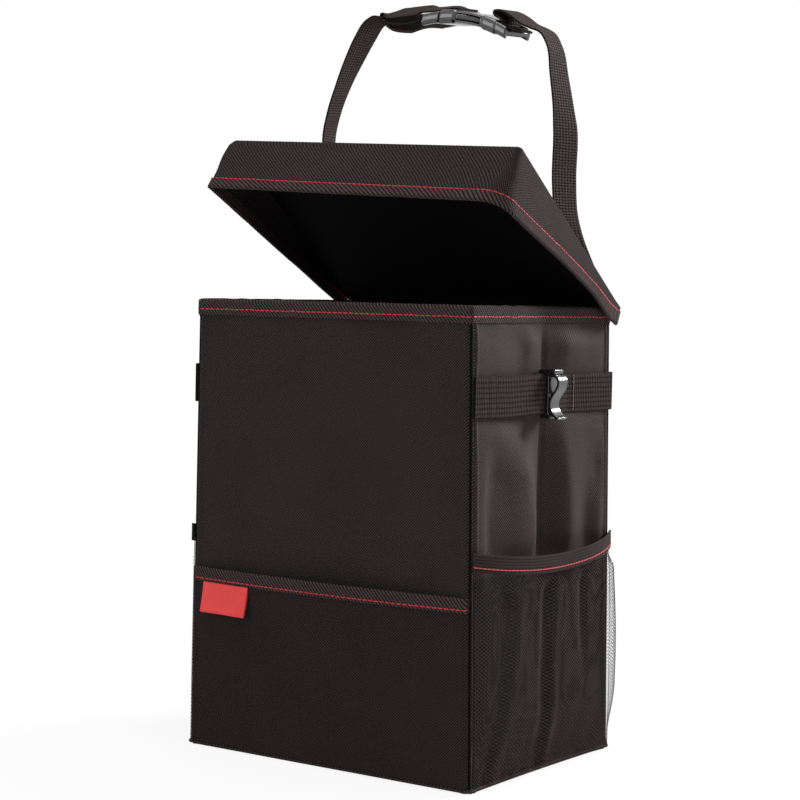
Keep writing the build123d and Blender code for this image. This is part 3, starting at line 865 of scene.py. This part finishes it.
@leaning
def ribbon_tag(u, v):
    """Folded ribbon: down in front, round its lower fold and back up behind."""
    run = 1 - abs(2 * v - 1)
    drop = tag_drop * run
    x = tag_middle + (tag_half - 0.6 * run) * (2 * u - 1)
    z = tag_high.z - drop
    rounded = math.sqrt(max(0.0, 1 - (max(0.0, run - 0.93) / 0.07) ** 2))
    gap = (0.32 + 0.375 * math.sin(math.pi * run)) * rounded
    flare = 4.3 * run**1.6
    y = -half_depth - pocket_out(x, z) - 1.15 - flare + math.copysign(gap, v - 0.5)
    return (x, y, z + 0.25 * crumple(x, z, 12, 3.0) * run)


tag = cloth_sheet("ribbon_tag", ribbon_tag, (24, 60), (2 * tag_half, 2 * tag_drop), thick=0.3)
dress(tag, tag_cloth, "bin", "tag", "red_tag")

# Net side pockets, gathered under an elastic
net_floor = pocket_floor
net_columns = 2 * 48
net_rows = 2 * 56
net_strand = 0.38


def net_top(y):
    """Lower edge of the elastic at a depth along the bin."""
    return net_end - elastic_sag * (1 - (y / half_depth) ** 2)


def band_out(y):
    """How far the stretched elastic stands out from the corner seams."""
    share = abs(y) / side_run
    return 0.6 + 8.0 * (1 - share ** (3 if y < 0 else 4))


# Lines of the two long pleats, as height and depth along the bin
front_pleat = ((13, -67), (37, -60), (73, -53), (107, -50), (128, -57))
middle_pleat = ((13, -7), (100, -8.5), (128, -4))


def pleat(away, depth, run):
    """Pleat folded over towards the front: it sinks slowly and ends in a sharp step."""
    return depth * ease((away + run) / run) * (1 - ease(away / 4.2))


def net_out(y, z):
    """How far the gathered net stands out from the corner seams."""
    share = abs(y) / side_run
    seam = 1 - share ** (4 if y < 0 else 24)
    rise = ease((z - net_floor) / 42)
    below = 1 - ease((z - net_top(y) + 12) / 11)
    to_front, to_middle = y - fair(front_pleat, z), y - fair(middle_pleat, z)
    to_rear = y - 42 + 8 * z / net_end
    sunk = pleat(to_front, 4.4, 22) + pleat(to_middle, 3.8, 13)
    sunk += pleat(to_rear, 2.8, 9) * ease((z - 40) / 60)
    swell = 1.6 * hump(to_front, 7, 6) + 1.4 * hump(to_middle, 7, 6) + 0.8 * crumple(y, z / 2, 17, 21.0)
    loose = 3.4 * hump(y, 77, 15) * hump(z, 70, 42)
    stand = 0.6 + (1.4 + 6.6 * rise + swell + loose - sunk * (0.45 + 0.55 * rise)) * seam
    return stand * below + (band_out(y) - 0.2) * (1 - below)


def net_pocket(name, side):
    """Knitted net of open diamonds, hung from the elastic to the base seam."""
    points, faces, number = [], [], {}
    for i in range(net_columns + 1):
        for j in range(net_rows + 1):
            if (i + j) % 2 == 0:
                y = (side_run - 0.4) * (2 * i / net_columns - 1)
                z = net_floor + (net_top(y) + 2.5 - net_floor) * j / net_rows
                x = side * (half_width + net_out(y, z))
                number[i, j] = len(points)
                points.append(Vector((x + settle(x, y, z), y, z)) * mm)
    for i in range(net_columns + 1):
        for j in range(net_rows + 1):
            if (i + j) % 2:
                ring = [(i, j - 1), (i + side, j), (i, j + 1), (i - side, j)]
                corners = [number[spot] for spot in ring if spot in number]
                if len(corners) > 2:
                    faces.append(corners)
    piece = mesh_piece(name, points, faces)
    pick(piece)
    apply_modifier(piece, "WIREFRAME", thickness=net_strand * mm, use_even_offset=False, use_boundary=True)
    piece.data.shade_smooth()
    return piece


def elastic_band(side):
    """Ribbed elastic along the pocket's mouth, seen from outside."""

    def place(u, v):
        y = side * (side_run + 0.9) * (2 * u - 1)
        z = net_top(y) + elastic_height * v
        ribs = 0.28 * abs(math.sin(6 * math.pi * v))
        return (side * (half_width + band_out(y) + 0.75 + ribs), y, z)

    return leaning(place)


for side, label in both_sides:
    net = net_pocket(f"{label}_net", side)
    dress(net, net_cloth, "bin", "mesh", f"{label}_mesh_pocket")
    band_place = elastic_band(side)
    band = cloth_sheet(f"{label}_elastic", band_place, (150, 42), (2 * side_run, elastic_height), thick=1.2)
    dress(band, elastic_cloth, "bin", "elastic", f"{label}_pocket_elastic")
    band_line = line_across(band_place, 0.24)
    sew(f"{label}_elastic_stitches", [band_line], 0.66, red_thread, "bin", "elastic", pitch=3.6, length=3.6)


# Webbing strips and straps
def webbing_section(share):
    """Point round a flat webbing's section: across and through, with rounded edges."""
    half, thin = strap_width / 2, strap_thick / 2
    flat = half - thin
    turn = 0.06
    quarter = 0.5 - turn
    at = share % 1.0
    top = at < 0.5
    part = at if top else at - 0.5
    if part < quarter:
        across, through = flat * (1 - 2 * part / quarter), thin
    else:
        angle = math.pi * (part - quarter) / turn
        across, through = -flat - thin * math.sin(angle), thin * math.cos(angle)
    return (across, through) if top else (-across, -through)


def webbing_strip(name, course, steps, length):
    """Closed webbing along course(t), which gives centre, across and through directions."""

    def place(u, v):
        centre, across, through = course(u)
        a, b = webbing_section(v)
        return centre + across * a + through * b

    piece = cloth_sheet(name, place, (steps, 40), (length, 2 * strap_width), thick=0, closed=True)
    edit(bpy.ops.mesh.fill_holes, sides=0)
    edit(bpy.ops.mesh.normals_make_consistent, inside=False)
    smooth(sharp_fold)
    return piece


def smooth_line(points):
    """Smooth line through points: its marks of distance, and its place and heading at a distance."""
    legs = [(b - a).length for a, b in zip(points, points[1:])]
    marks = [0.0]
    for leg in legs:
        marks.append(marks[-1] + leg)
    heads = [(points[1] - points[0]) / legs[0]]
    for i in range(1, len(legs)):
        before, after = legs[i - 1], legs[i]
        head = (points[i] - points[i - 1]) * (after / before) + (points[i + 1] - points[i]) * (before / after)
        heads.append(head / (before + after))
    heads.append((points[-1] - points[-2]) / legs[-1])

    def at(distance):
        i = min(len(legs) - 1, max(0, bisect_right(marks, distance) - 1))
        t = (distance - marks[i]) / legs[i]
        a, b = points[i], points[i + 1]
        out, into = heads[i] * legs[i], heads[i + 1] * legs[i]
        heading = (b - a) * 6 * t * (1 - t) + out * (1 - 4 * t + 3 * t * t) + into * (3 * t * t - 2 * t)
        return blend_curve(a, b, out, into, t), heading.normalized()

    return marks, at


# The strips across the sides, free in front of the stitch line and sewn down behind it
strip_seat = 0.1
stitch_y = 33.0
tack_y = 39.0
stitch_x = half_width - fold_full * (1 - stitch_y / side_run)


def side_strip(side):
    """Course of a strip from the front seam to the back seam."""
    seam_x = half_width + strip_seat + strap_thick / 2 + 0.6
    sewn_x = stitch_x + strap_thick / 2 + strip_seat

    def course(u):
        y = side_run * (2 * u - 1)
        if y < stitch_y:
            x = seam_x + (sewn_x - seam_x) * (y + side_run) / (stitch_y + side_run)
        else:
            x = sewn_x + (seam_x - stitch_x - strap_thick / 2) * ((y - stitch_y) / (side_run - stitch_y))
        wrinkle = 0.22 * crumple(y, 0, 22, 30.0 + side) + 0.2 * hump(y, -68, 9) * math.sin(y * 0.75)
        x = side * (x + wrinkle * ease((side_run - abs(y)) / 10))
        z = side_strap_middle + 0.5 * crumple(y, 5, 30, 31.0)
        centre = Vector((x + settle(x, y, z), y, z))
        return centre, Vector((0, 0, 1)), Vector((side, 0, 0))

    return course


for side, label in both_sides:
    course = side_strip(side)
    strip = webbing_strip(f"{label}_side_webbing", course, 120, 2 * side_run)
    dress(strip, webbing_cloth, "bin", "webbing", f"{label}_side_strap")
    centre, across, out = course((tack_y + side_run) / (2 * side_run))
    tack = [(centre + across * (strap_width / 2 - 1) * s + out * strap_thick / 2, out) for s in (-1, 0, 1)]
    sew(f"{label}_side_tack", [tack], 0.1, black_thread, "bin", "webbing", pitch=1.7, length=1.7, width=0.9)


# Hanging strap: the buckle's frame, then each half's course
joints = {joint["name"]: joint for joint in frame["joints"]}
buckle_along = -Vector(joints["buckle_release"]["axis"]).normalized()
buckle_up = Vector((-buckle_along.z, 0, buckle_along.x))
strap_y = half_depth + 4.0
buckle_centre = Vector((-4.0, strap_y, rim_top + 190.0))
ladder_start = 19.0
ladder_draw = 0.55
buckle_barrel = 1.5
buckle_roll = 0.05
buckle_half_thick = 5
buckle_half_wide = 14
moulding_voxel = 0.5
moulding_rounds = 7
foot_x = 86.0
foot_y = half_depth + strap_thick / 2 + 0.05
foot_low = rim_top - 80.0
foot_length = 54.0


def buckle_arch(along):
    """Rise of the slightly arched buckle and of the webbing in it."""
    return 3.4 - 8.0 * min(1.0, abs(along + 4) / 40) ** 2


def buckle_point(along, up):
    """Point in the buckle's middle plane."""
    rise = buckle_arch(along) * ease((90 - abs(along)) / 30)
    return buckle_centre + buckle_along * along + buckle_up * (up + rise)


def fold_tilt(centre):
    """Tip of the webbing's width: slight in the buckle, and well to the front in the left fold's plies."""
    place = centre - buckle_centre
    along, up = place.dot(buckle_along), place.dot(buckle_up)
    begun = ease((along + 86) / 14)
    fold = begun * ease((-38 - along) / 14)
    over = ease((along + 60) / 14) * ease((-16 - along) / 14) * ease((up - 1) / 2)
    rolled = begun * ease((62 - along) / 20)
    return max(0.42 * fold, 0.25 * over, buckle_roll * rolled)


def strap_course(stations):
    """Smooth course through stations of centre and turn in degrees from flat on the wall, and its length."""
    marks, line = smooth_line([Vector(centre) for centre, turn in stations])
    turns = [(mark, turn) for mark, (centre, turn) in zip(marks, stations)]

    def course(u):
        centre, heading = line(u * marks[-1])
        turn = math.radians(fair(turns, u * marks[-1]))
        across = Vector((math.cos(turn), math.sin(turn), fold_tilt(centre)))
        across = (across - heading * across.dot(heading)).normalized()
        return centre, across, across.cross(heading)

    return course, marks[-1]


def sewn_foot(side):
    """Stations where a strap half lies on the back wall and leaves it over the rim tape."""
    x = side * foot_x
    return [
        ((x, foot_y, foot_low), 0),
        ((x, foot_y, foot_low + foot_length / 2), 0),
        ((x, foot_y, foot_low + foot_length), 0),
        ((x, foot_y + 1.3, rim_low), 0),
    ]


# Each half's route above the rim: outward from the foot, upward from the rim, and the turn
right_route = (
    (-3, 8, 2), (-8, 16, 25), (-16, 37, 60), (-21, 60, 79), (-23, 84, 80),
    (-23, 117, 80), (-25, 132, 86), (-29, 154, 91), (-33, 173, 95), (-39, 182, 94),
)
left_route = (
    (3, 8, 2), (7, 16, 25), (20, 43, 70), (34, 70, 100), (44, 94, 105), (48, 113, 106),
    (43.5, 135, 105), (36, 153, 102), (25.5, 173, 94), (17.5, 186, 90), (9.5, 196, 90),
)

# Each half's folds in the buckle, along and up from its middle
right_folds = (
    (45, 8.6), (36, 10.6), (28, 11.2), (21, 11.2), (16.5, 10.6), (14.4, 9.4), (14.0, 8.2), (14.8, 7.0),
    (17, 6.4), (19.8, 6.2), (21.4, 5.2), (22.0, 3.2), (22.0, 0), (22.3, -1.9), (23.1, -2.65), (24.7, -2.65),
    (25.5, -1.9), (25.8, 0), (25.95, 1.6), (26.6, 2.8), (27.8, 3.1), (29.8, 3.4), (32.3, 3.5),
)
left_folds = (
    (-80, -4.6), (-66, -5.7), (-53, -4.6), (-46, -3.6), (-40, -3.5), (-37.2, -3.0), (-35.9, -1.9),
    (-35.55, 0), (-35.9, 1.9), (-37.4, 2.6), (-40.5, 2.6), (-46, 3.0), (-53, 1.4), (-60, -0.4), (-68, -2.4),
    (-73, -3.1), (-76.4, -3.3), (-78, -2.6), (-77.9, -1.6), (-76.4, -0.7), (-71, 1.2), (-65.5, 3.6),
    (-57, 6.0), (-48, 8.0), (-40.5, 8.2), (-34, 7.5), (-27.5, 6.6), (-21, 5.9), (-14.5, 5.6),
)


def free_run(side, route):
    """Stations of a strap half's route above the rim."""
    return [((side * (foot_x + out), strap_y, rim_top + up), turn) for out, up, turn in route]


def folded(places):
    """Stations of a strap half's folds in the buckle."""
    return [(buckle_point(along, up), 90) for along, up in places]


def hanging_strap(side, label, route, folds, steps):
    """One half of the strap, from its sewn foot to its folds in the buckle."""
    course, length = strap_course(sewn_foot(side) + free_run(side, route) + folded(folds))
    return webbing_strip(f"{label}_strap", course, steps, length)


right_strap = hanging_strap(1, "right", right_route, right_folds, 560)
dress(right_strap, webbing_cloth, "bin", "webbing", "right_hanging_strap")
left_strap = hanging_strap(-1, "left", left_route, left_folds, 640)
coat(left_strap, webbing_cloth, "webbing", "left_hanging_strap")
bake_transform(left_strap)


def sewn_box(side):
    """Box and cross of stitches that hold a strap's foot."""
    x, y = side * foot_x, foot_y + strap_thick / 2
    half, low, high = strap_width / 2 - 3, foot_low + 4, foot_low + foot_length - 8
    ring = [(x - half, low), (x + half, low), (x + half, high), (x - half, high), (x - half, low)]
    lines = list(zip(ring, ring[1:])) + [(ring[0], ring[2]), (ring[1], ring[3])]
    out = Vector((0, 1, 0))
    return [
        [(Vector((a[0] + (b[0] - a[0]) * s / 20, y, a[1] + (b[1] - a[1]) * s / 20)), out) for s in range(21)]
        for a, b in lines
    ]


foot_lines = sewn_box(1) + sewn_box(-1)
sew("strap_foot_stitches", foot_lines, 0.15, black_thread, "bin", "webbing", pitch=3.2, length=2.5, width=0.7)


# Moulded fittings with soft edges
def soften(piece, edge):
    """Round the sharp edges of a moulding."""
    limit = {"limit_method": "ANGLE", "angle_limit": math.radians(32)}
    apply_modifier(piece, "BEVEL", width=edge * mm, segments=4, use_clamp_overlap=True, **limit)
    smooth(sharp_edge)


def merged_copy(node, name):
    """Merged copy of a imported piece, selected."""
    piece = link_new(name, frame["nodes"][node].data.copy())
    pick(piece)
    bpy.ops.mesh.customdata_custom_splitnormals_clear()
    edit(bpy.ops.mesh.remove_doubles, threshold=0.005 * mm)
    return piece


def buckle_half(node, name, body):
    """One half of the buckle: rounded like a moulding, arched, rolled, and its webbing ladder drawn in."""
    piece = merged_copy(node, name)
    apply_modifier(piece, "REMESH", mode="VOXEL", voxel_size=moulding_voxel * mm)
    apply_modifier(piece, "SMOOTH", factor=0.5, iterations=moulding_rounds)
    for vertex in piece.data.vertices:
        place = vertex.co / mm - buckle_centre
        along, up = place.dot(buckle_along), place.dot(buckle_up)
        drawn_in = ladder_draw * max(0.0, along - ladder_start)
        barrel = buckle_barrel * (up / buckle_half_thick) ** 2 * place.y / buckle_half_wide
        aside = -barrel - buckle_roll * up
        rise = buckle_arch(along - drawn_in) + buckle_roll * place.y
        vertex.co += (buckle_up * rise - buckle_along * drawn_in + Vector((0, aside, 0))) * mm
    piece.data.shade_smooth()
    return dress(piece, moulding, body, "buckle", node)


buckle_half("buckle_female", "buckle_socket", "bin")
buckle_half("buckle_male", "buckle_plug_half", "buckle_plug")


# Bag clips: a plate with ledges and hooks round the strip's edges, and an S-shaped spring on its face
clip_wide = 12.0
clip_middle = 7.0
clip_edge = 0.45
spring_thick = 1.7
spring_edge = 0.5
clip_blocks = (
    ((0.3, -15.4), (2.3, 15.4)),
    ((-5.0, 12.8), (6.5, 15.4)),
    ((-3.3, -15.4), (4.0, -12.8)),
    ((-3.3, 8.8), (-1.8, 13.4)),
    ((-3.3, -13.4), (-1.8, -8.8)),
)
clip_spring = (
    (1.3, 11.9), (4.6, 11.8), (7.2, 10.9), (8.7, 8.6), (8.7, 5.6), (7.2, 2.4), (5.0, -0.8), (3.6, -4.0),
    (3.2, -7.4), (4.2, -10.6), (6.6, -13.4), (9.4, -15.4),
)
clip_marks, clip_line = smooth_line([Vector((out, 0, up)) for out, up in clip_spring])


def clip_block(low, high):
    """Block of the clip between two corners of outward and upward, with rounded edges."""
    begin()
    bpy.ops.mesh.primitive_cube_add(size=1)
    block = bpy.context.object
    middle = Vector(((low[0] + high[0]) / 2, 0, (low[1] + high[1]) / 2))
    size = Vector((high[0] - low[0], clip_wide, high[1] - low[1]))
    block.data.transform(Matrix.Translation(middle * mm) @ Matrix.Diagonal(size * mm).to_4x4())
    soften(block, clip_edge)
    return block


def spring_face(u, v):
    """Middle of the spring's leaf, along its S and across its width."""
    place = clip_line(u * clip_marks[-1])[0]
    return (place.x, clip_wide * (v - 0.5), place.z)


def bag_clip(side, label):
    """Clip on its strip, turned with the strip's lean."""
    parts = [clip_block(low, high) for low, high in clip_blocks]
    leaf = cloth_sheet("leaf", spring_face, (90, 8), (clip_marks[-1], clip_wide), spring_thick)
    soften(leaf, spring_edge)
    begin()
    for part in parts + [leaf]:
        part.select_set(True)
    bpy.context.view_layer.objects.active = leaf
    bpy.ops.object.join()
    leaf.name = f"{label}_clip_moulding"
    leaf.data.name = leaf.name
    lean = (half_width - stitch_x) / (stitch_y + side_run)
    seat = half_width + strip_seat / 2 - lean * (clip_middle + side_run) + strap_thick
    out = Vector((side, lean, 0)).normalized()
    along = Vector((-side * lean, 1, 0)).normalized()
    turn = Matrix((out, along, Vector((0, 0, 1)))).transposed().to_4x4()
    leaf.data.transform(Matrix.Translation(Vector((side * seat, clip_middle, side_strap_middle)) * mm) @ turn)
    pick(leaf)
    edit(bpy.ops.mesh.normals_make_consistent, inside=False)
    dress(leaf, moulding, f"{label}_clip", "buckle", f"{label}_bag_clip")


for side, label in both_sides:
    bag_clip(side, label)

# Lid: hinge line at its back, raised at the front in the rest pose
hinge = Vector(joints["lid_hinge"]["pos_m"]) / mm
open_angle = math.radians(33.0)
lid_back = Vector((0, math.cos(open_angle), -math.sin(open_angle)))
lid_up = Vector((0, math.sin(open_angle), math.cos(open_angle)))
lip_half = half_width + 1.8
lip_reach = hinge.y + half_depth + 1.8
lid_twist = 8.7
lid_drop = 2.3
lid_skew = 4.2
lid_spread = 4.4
lid_draw = 4.0
lip_front = 39.0
lip_back = 10.0
lip_tail = 8.0
lip_flare = 4.0
lip_bulge = 2.4
lid_crown = 2.0
lip_thick = 1.2
lip_tape_tall = 6.6


def lid_rightward(x):
    """Share of the lid's width from its left edge."""
    return (lip_half + x) / (2 * lip_half)


def lid_point(x, back, up):
    """World place of a point of the lid, which is skewed and twisted a little."""
    share = min(1.0, max(0.0, -back / lip_reach))
    rightward = lid_rightward(x)
    lift = share * (lid_twist * (1 - rightward) - lid_drop * rightward)
    aside = share * (lid_skew + lid_spread * rightward) - (1 - share) * lid_draw * rightward
    return hinge + Vector((x + aside, 0, 0)) + lid_back * back + lid_up * (up + lift)


def lip_depth(back):
    """Lower edge of the lips below the lid's top, along the lid."""
    return lip_back + (lip_front - lip_back) * min(1.0, -back / (lip_reach + lip_flare + 1.6))


# Shares of the lips' line: left side, corner, front, corner and right side
lip_stretches = (0.33, 0.04, 0.26, 0.04, 0.33)
lip_corner = 6.0
lip_roll = 0.06


def lip_plan(share, half, reach, corner):
    """Plan line of the lips: left side from behind the hinge, front, and right side back again."""
    at, part = stretch_at(share, lip_stretches)
    straight = reach - corner
    if at == 0:
        return (-half, lip_tail - (lip_tail + straight) * part)
    if at == 2:
        return ((half - corner) * (2 * part - 1), -reach)
    if at == 4:
        return (half, lip_tail - (lip_tail + straight) * (1 - part))
    turn = math.radians(90 * part)
    if at == 1:
        return (-half + corner - corner * math.cos(turn), -straight - corner * math.sin(turn))
    return (half - corner + corner * math.sin(turn), -straight - corner * math.cos(turn))


def lips(u, v):
    """Front and side lips of the lid, rounded over at the top and drawn in at their lower corners."""
    depth_share = max(0.0, v - lip_roll) / (1 - lip_roll)
    roll = ease(v / lip_roll)
    guide, behind = lip_plan(u, lip_half, lip_reach, lip_corner)
    rightward = lid_rightward(guide)
    deeper = 3.0 * ease((-behind - 60) / 100) + 4.0 * ease((behind + 35) / 35)
    drop = (lip_depth(behind) + rightward * deeper) * depth_share
    flare = lip_flare * (0.65 + 0.35 * rightward) * drop / lip_front
    corner = 2.5 + (1.0 + 13.0 * rightward) * (drop / lip_front) ** 1.5
    x, back = lip_plan(u, lip_half + 0.8 + flare, lip_reach + 0.8 + flare, corner)
    inset = 3.0 * (1 - roll)
    x -= math.copysign(inset * ease((abs(x) - 60) / 45), x)
    back += inset * ease((-back - 120) / 45)
    x -= lip_bulge * (1 - rightward) * ease((-behind - 50) / 60) * ease(drop / 4) * ease((30 - drop) / 20)
    waver = 0.5 * crumple(x + back, drop, 26, 14.0) * ease(drop / 10)
    sides = ease((abs(x) - 90) / 15)
    x += math.copysign(waver * sides, x)
    back -= waver * (1 - sides)
    return lid_point(x, back, lid_crown - 0.6 - drop + 0.5 * roll * (1 - depth_share))


def lip_tape(u, v):
    """Tape folded over the lips' lower edge."""
    inward, rise = over_edge(v, lip_tape_tall, -0.4, -0.7)
    depth = lip_depth(lip_plan(u, lip_half, lip_reach, lip_corner)[1])
    at = 1.0 - max(0.0, rise) / depth * (1 - lip_roll)
    out = surface_normal(lips, u, min(0.985, at))
    lump = 0.2 * crumple(u * 460, v * 20, 8, 15.0)
    below = lid_up * min(0.0, rise)
    return Vector(lips(u, at)) + out * (0.95 + lump) * (1 - 2 * inward) * lip_side + below


lip_side = 1 if surface_normal(lips, 0.5, 0.5).y < 0 else -1
lip_run = 2 * (lip_reach + lip_tail + lip_half)
lip_cloth = cloth_sheet("lid_lips", lips, (320, 40), (lip_run, 32), lip_thick)
dress(lip_cloth, front_cloth, "lid", "cloth", "lid_skirt")
lip_binding = cloth_sheet("lid_lip_tape", lip_tape, (320, 24), (lip_run, -20), thick=0.6)
dress(lip_binding, tape_cloth, "lid", "edge_tape", "lid_binding")
front_line = line_across(lip_tape, 0.03, lip_side, 0.004, 0.996)
inside_line = line_across(lip_tape, 0.97, lip_side, 0.004, 0.06)
sew("lid_stitches", [front_line, inside_line], 0.3, red_thread, "lid", "edge_tape", pitch=3.9)


def lid_top(u, v):
    """Top cloth of the lid, wrapped over its back edge."""
    x = (lip_half + 0.4) * (2 * u - 1)
    back = -(lip_reach + 0.4) * (1 - v)
    edge = min(lip_half + 0.4 - abs(x), lip_reach + 0.4 + back)
    crown = 0.5 * ease(edge / 10) + 0.25 * crumple(x, back, 45, 16.0)
    return lid_point(x, back, lid_crown - 0.5 + crown * ease(-back / 12))


cover = cloth_sheet("lid_cloth", lid_top, (90, 70), (2 * lip_half, lip_reach), cloth, (to_edges, to_edges))
dress(cover, front_cloth, "lid", "cloth", "lid_cover")


def lid_inside(u, v):
    """Lining under the lid's board."""
    x = (lip_half - 1.2) * (2 * u - 1)
    back = -(lip_reach - 1.2) * (1 - v) - 2.0 * v
    edge = min(lip_half - 1.2 - abs(x), lip_reach - 1.2 + back)
    sag = (0.5 + 0.6 * crumple(x, back, 40, 17.0)) * ease(edge / 20)
    return lid_point(x, back, -1.4 - sag * ease(-back / 20))


lining = cloth_sheet("lid_lining_cloth", lid_inside, (60, 50), (2 * lip_half, lip_reach), thick=0.5)
dress(lining, lining_cloth, "lid", "liner", "lid_lining")


# Cloth hinge: an inner and an outer strip that join the back rim to the lid in its rest pose
def hinge_strip(half, from_rim, between, to_lid):
    """Strip bent from the rim to the lid, given its half width and three points of its section."""

    def place(u, v):
        a, b, c = (Vector(point) for point in (from_rim, between, to_lid))
        spot = a * (1 - v) ** 2 + b * 2 * v * (1 - v) + c * v * v
        x = half * (2 * u - 1)
        return Vector((x + settle(x, spot.y, wall_top) * (1 - v), spot.y, spot.z))

    return place


inner_rim = (0, half_depth - 4.4, rim_top - 4)
inner_lid = lid_point(0, -18, -2.4)
outer_rim = (0, half_depth + 0.9, rim_top - 6)
outer_lid = lid_point(0, -6, lid_crown + 0.3)
inner_hinge = hinge_strip(104, inner_rim, (0, half_depth - 3.8, rim_top + 2.6), inner_lid)
outer_hinge = hinge_strip(70, outer_rim, (0, half_depth + 2.4, rim_top + 6), outer_lid)
strips = (
    ("hinge_lining", inner_hinge, (0.208, 0.022), lining_cloth, "liner", inner_rim, inner_lid),
    ("hinge_cloth", outer_hinge, (0.14, 0.016), front_cloth, "cloth", outer_rim, outer_lid),
)
for name, place, flat, material, slot, start, end in strips:
    strip = cloth_sheet(name, place, (70, 16), (flat[0] / mm, flat[1] / mm), thick=0.5)
    coat(strip, material, slot)
    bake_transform(strip)


# Boards, hidden in the leaning walls and the twisted lid
def lean_point(point):
    """Place of a board's point in the leaning walls."""
    return Vector((point.x + settle(*point), point.y, point.z))


def twist_point(point):
    """Place of a board's point in the twisted lid."""
    away = point - hinge
    return lid_point(point.x, away.dot(lid_back), away.dot(lid_up))


def bent_board(node, body, move):
    """Divided copy of a packed board, bent to its place."""
    piece = merged_copy(node, f"bent_{node}")
    edit(bpy.ops.mesh.subdivide, number_cuts=7)
    for vertex in piece.data.vertices:
        vertex.co = move(vertex.co / mm) * mm
    smooth(sharp_edge)
    dress(piece, board_sheet, body, "board", node)


for node in ("front_board", "back_board", "base_board"):
    bent_board(node, "bin", lean_point)
bent_board("lid_board", "lid", twist_point)


# Floor, light and camera
def seen_directly(tree):
    """1 for rays from the camera, off a gloss or through a clear thing, 0 for other light."""
    path = put(tree, "ShaderNodeLightPath", {}).outputs
    seen = calc(tree, "MAXIMUM", path["Is Camera Ray"], path["Is Glossy Ray"])
    return calc(tree, "MAXIMUM", seen, path["Is Transmission Ray"])


def make_floor():
    """Plain pale floor that keeps the bin's shadow and is white to the camera further off."""
    begin()
    bpy.ops.mesh.primitive_plane_add(size=12, location=(0, 0, -0.0004))
    floor = bpy.context.object
    floor.name = "floor"
    material, tree, shader = new_material("pale_floor")
    looks = {"Base Color": colour(0.86, 0.86, 0.87), "Roughness": 0.9, "Specular IOR Level": 0.0}
    feed(tree, shader, looks)
    where = put(tree, "ShaderNodeTexCoord", {}).outputs["Object"]
    away = put(tree, "ShaderNodeVectorMath", {0: where}, operation="LENGTH").outputs["Value"]
    clear = carry(tree, away, 0.88, 1.0, 0.12, 0.42)
    white = put(tree, "ShaderNodeEmission", {"Color": colour(1, 1, 1), "Strength": 1.0})
    share = calc(tree, "MULTIPLY", seen_directly(tree), clear)
    mixed = put(tree, "ShaderNodeMixShader", {0: share, 1: shader.outputs[0], 2: white.outputs[0]})
    feed(tree, tree.nodes["Material Output"], {"Surface": mixed.outputs[0]})
    floor.data.materials.append(material)


def make_world():
    """Soft surround: dimmer as light than it looks to the camera."""
    world = bpy.data.worlds.new("studio")
    bpy.context.scene.world = world
    world.use_nodes = True
    tree = world.node_tree
    tree.nodes.clear()
    dim = put(tree, "ShaderNodeBackground", {"Color": colour(1, 1, 1), "Strength": 0.2})
    white = put(tree, "ShaderNodeBackground", {"Color": colour(1, 1, 1), "Strength": 1.0})
    sockets = {0: seen_directly(tree), 1: dim.outputs[0], 2: white.outputs[0]}
    mixed = put(tree, "ShaderNodeMixShader", sockets)
    put(tree, "ShaderNodeOutputWorld", {"Surface": mixed.outputs[0]})


def soft_light(name, place, target, size, power):
    """Square soft light aimed at a point."""
    light = bpy.data.lights.new(name, "AREA")
    light.shape = "RECTANGLE"
    light.size, light.size_y = size
    light.energy = power
    lamp = link_new(name, light)
    lamp.location = place
    lamp.rotation_euler = (Vector(target) - Vector(place)).to_track_quat("-Z", "Y").to_euler()


# The photograph's camera: place in metres, angles, and focal length and frame in pixels
camera_place = (0.769, -1.116, 0.302)
camera_azimuth = math.radians(34.76)
camera_elevation = math.radians(3.12)
camera_roll = math.radians(1.25)
focal_pixels = 2073
frame_pixels = 800


def make_camera():
    """Camera at the photograph's place."""
    away = math.cos(camera_elevation)
    height = math.sin(camera_elevation)
    back = Vector((math.sin(camera_azimuth) * away, -math.cos(camera_azimuth) * away, height))
    level = Vector((math.cos(camera_azimuth), math.sin(camera_azimuth), 0))
    upright = back.cross(level)
    right = level * math.cos(camera_roll) + upright * math.sin(camera_roll)
    up = upright * math.cos(camera_roll) - level * math.sin(camera_roll)
    data = bpy.data.cameras.new("camera")
    data.sensor_width = 36.0
    data.lens = focal_pixels / frame_pixels * data.sensor_width
    data.clip_start, data.clip_end = 0.05, 50
    camera = link_new("camera", data)
    camera.matrix_world = Matrix.Translation(camera_place) @ Matrix((right, up, back)).transposed().to_4x4()
    bpy.context.scene.camera = camera


make_floor()
make_world()
soft_light("top_light", place=(0.2, -0.3, 1.55), target=(0, 0, 0.25), size=(1.0, 0.8), power=13)
soft_light("right_light", place=(0.66, 1.39, 0.99), target=(0.05, 0, 0.22), size=(0.45, 0.6), power=42)
soft_light("left_light", place=(-0.85, -1.25, 0.68), target=(0, 0, 0.25), size=(0.75, 0.9), power=6)
make_camera()
bpy.context.scene.view_settings.view_transform = "Standard"
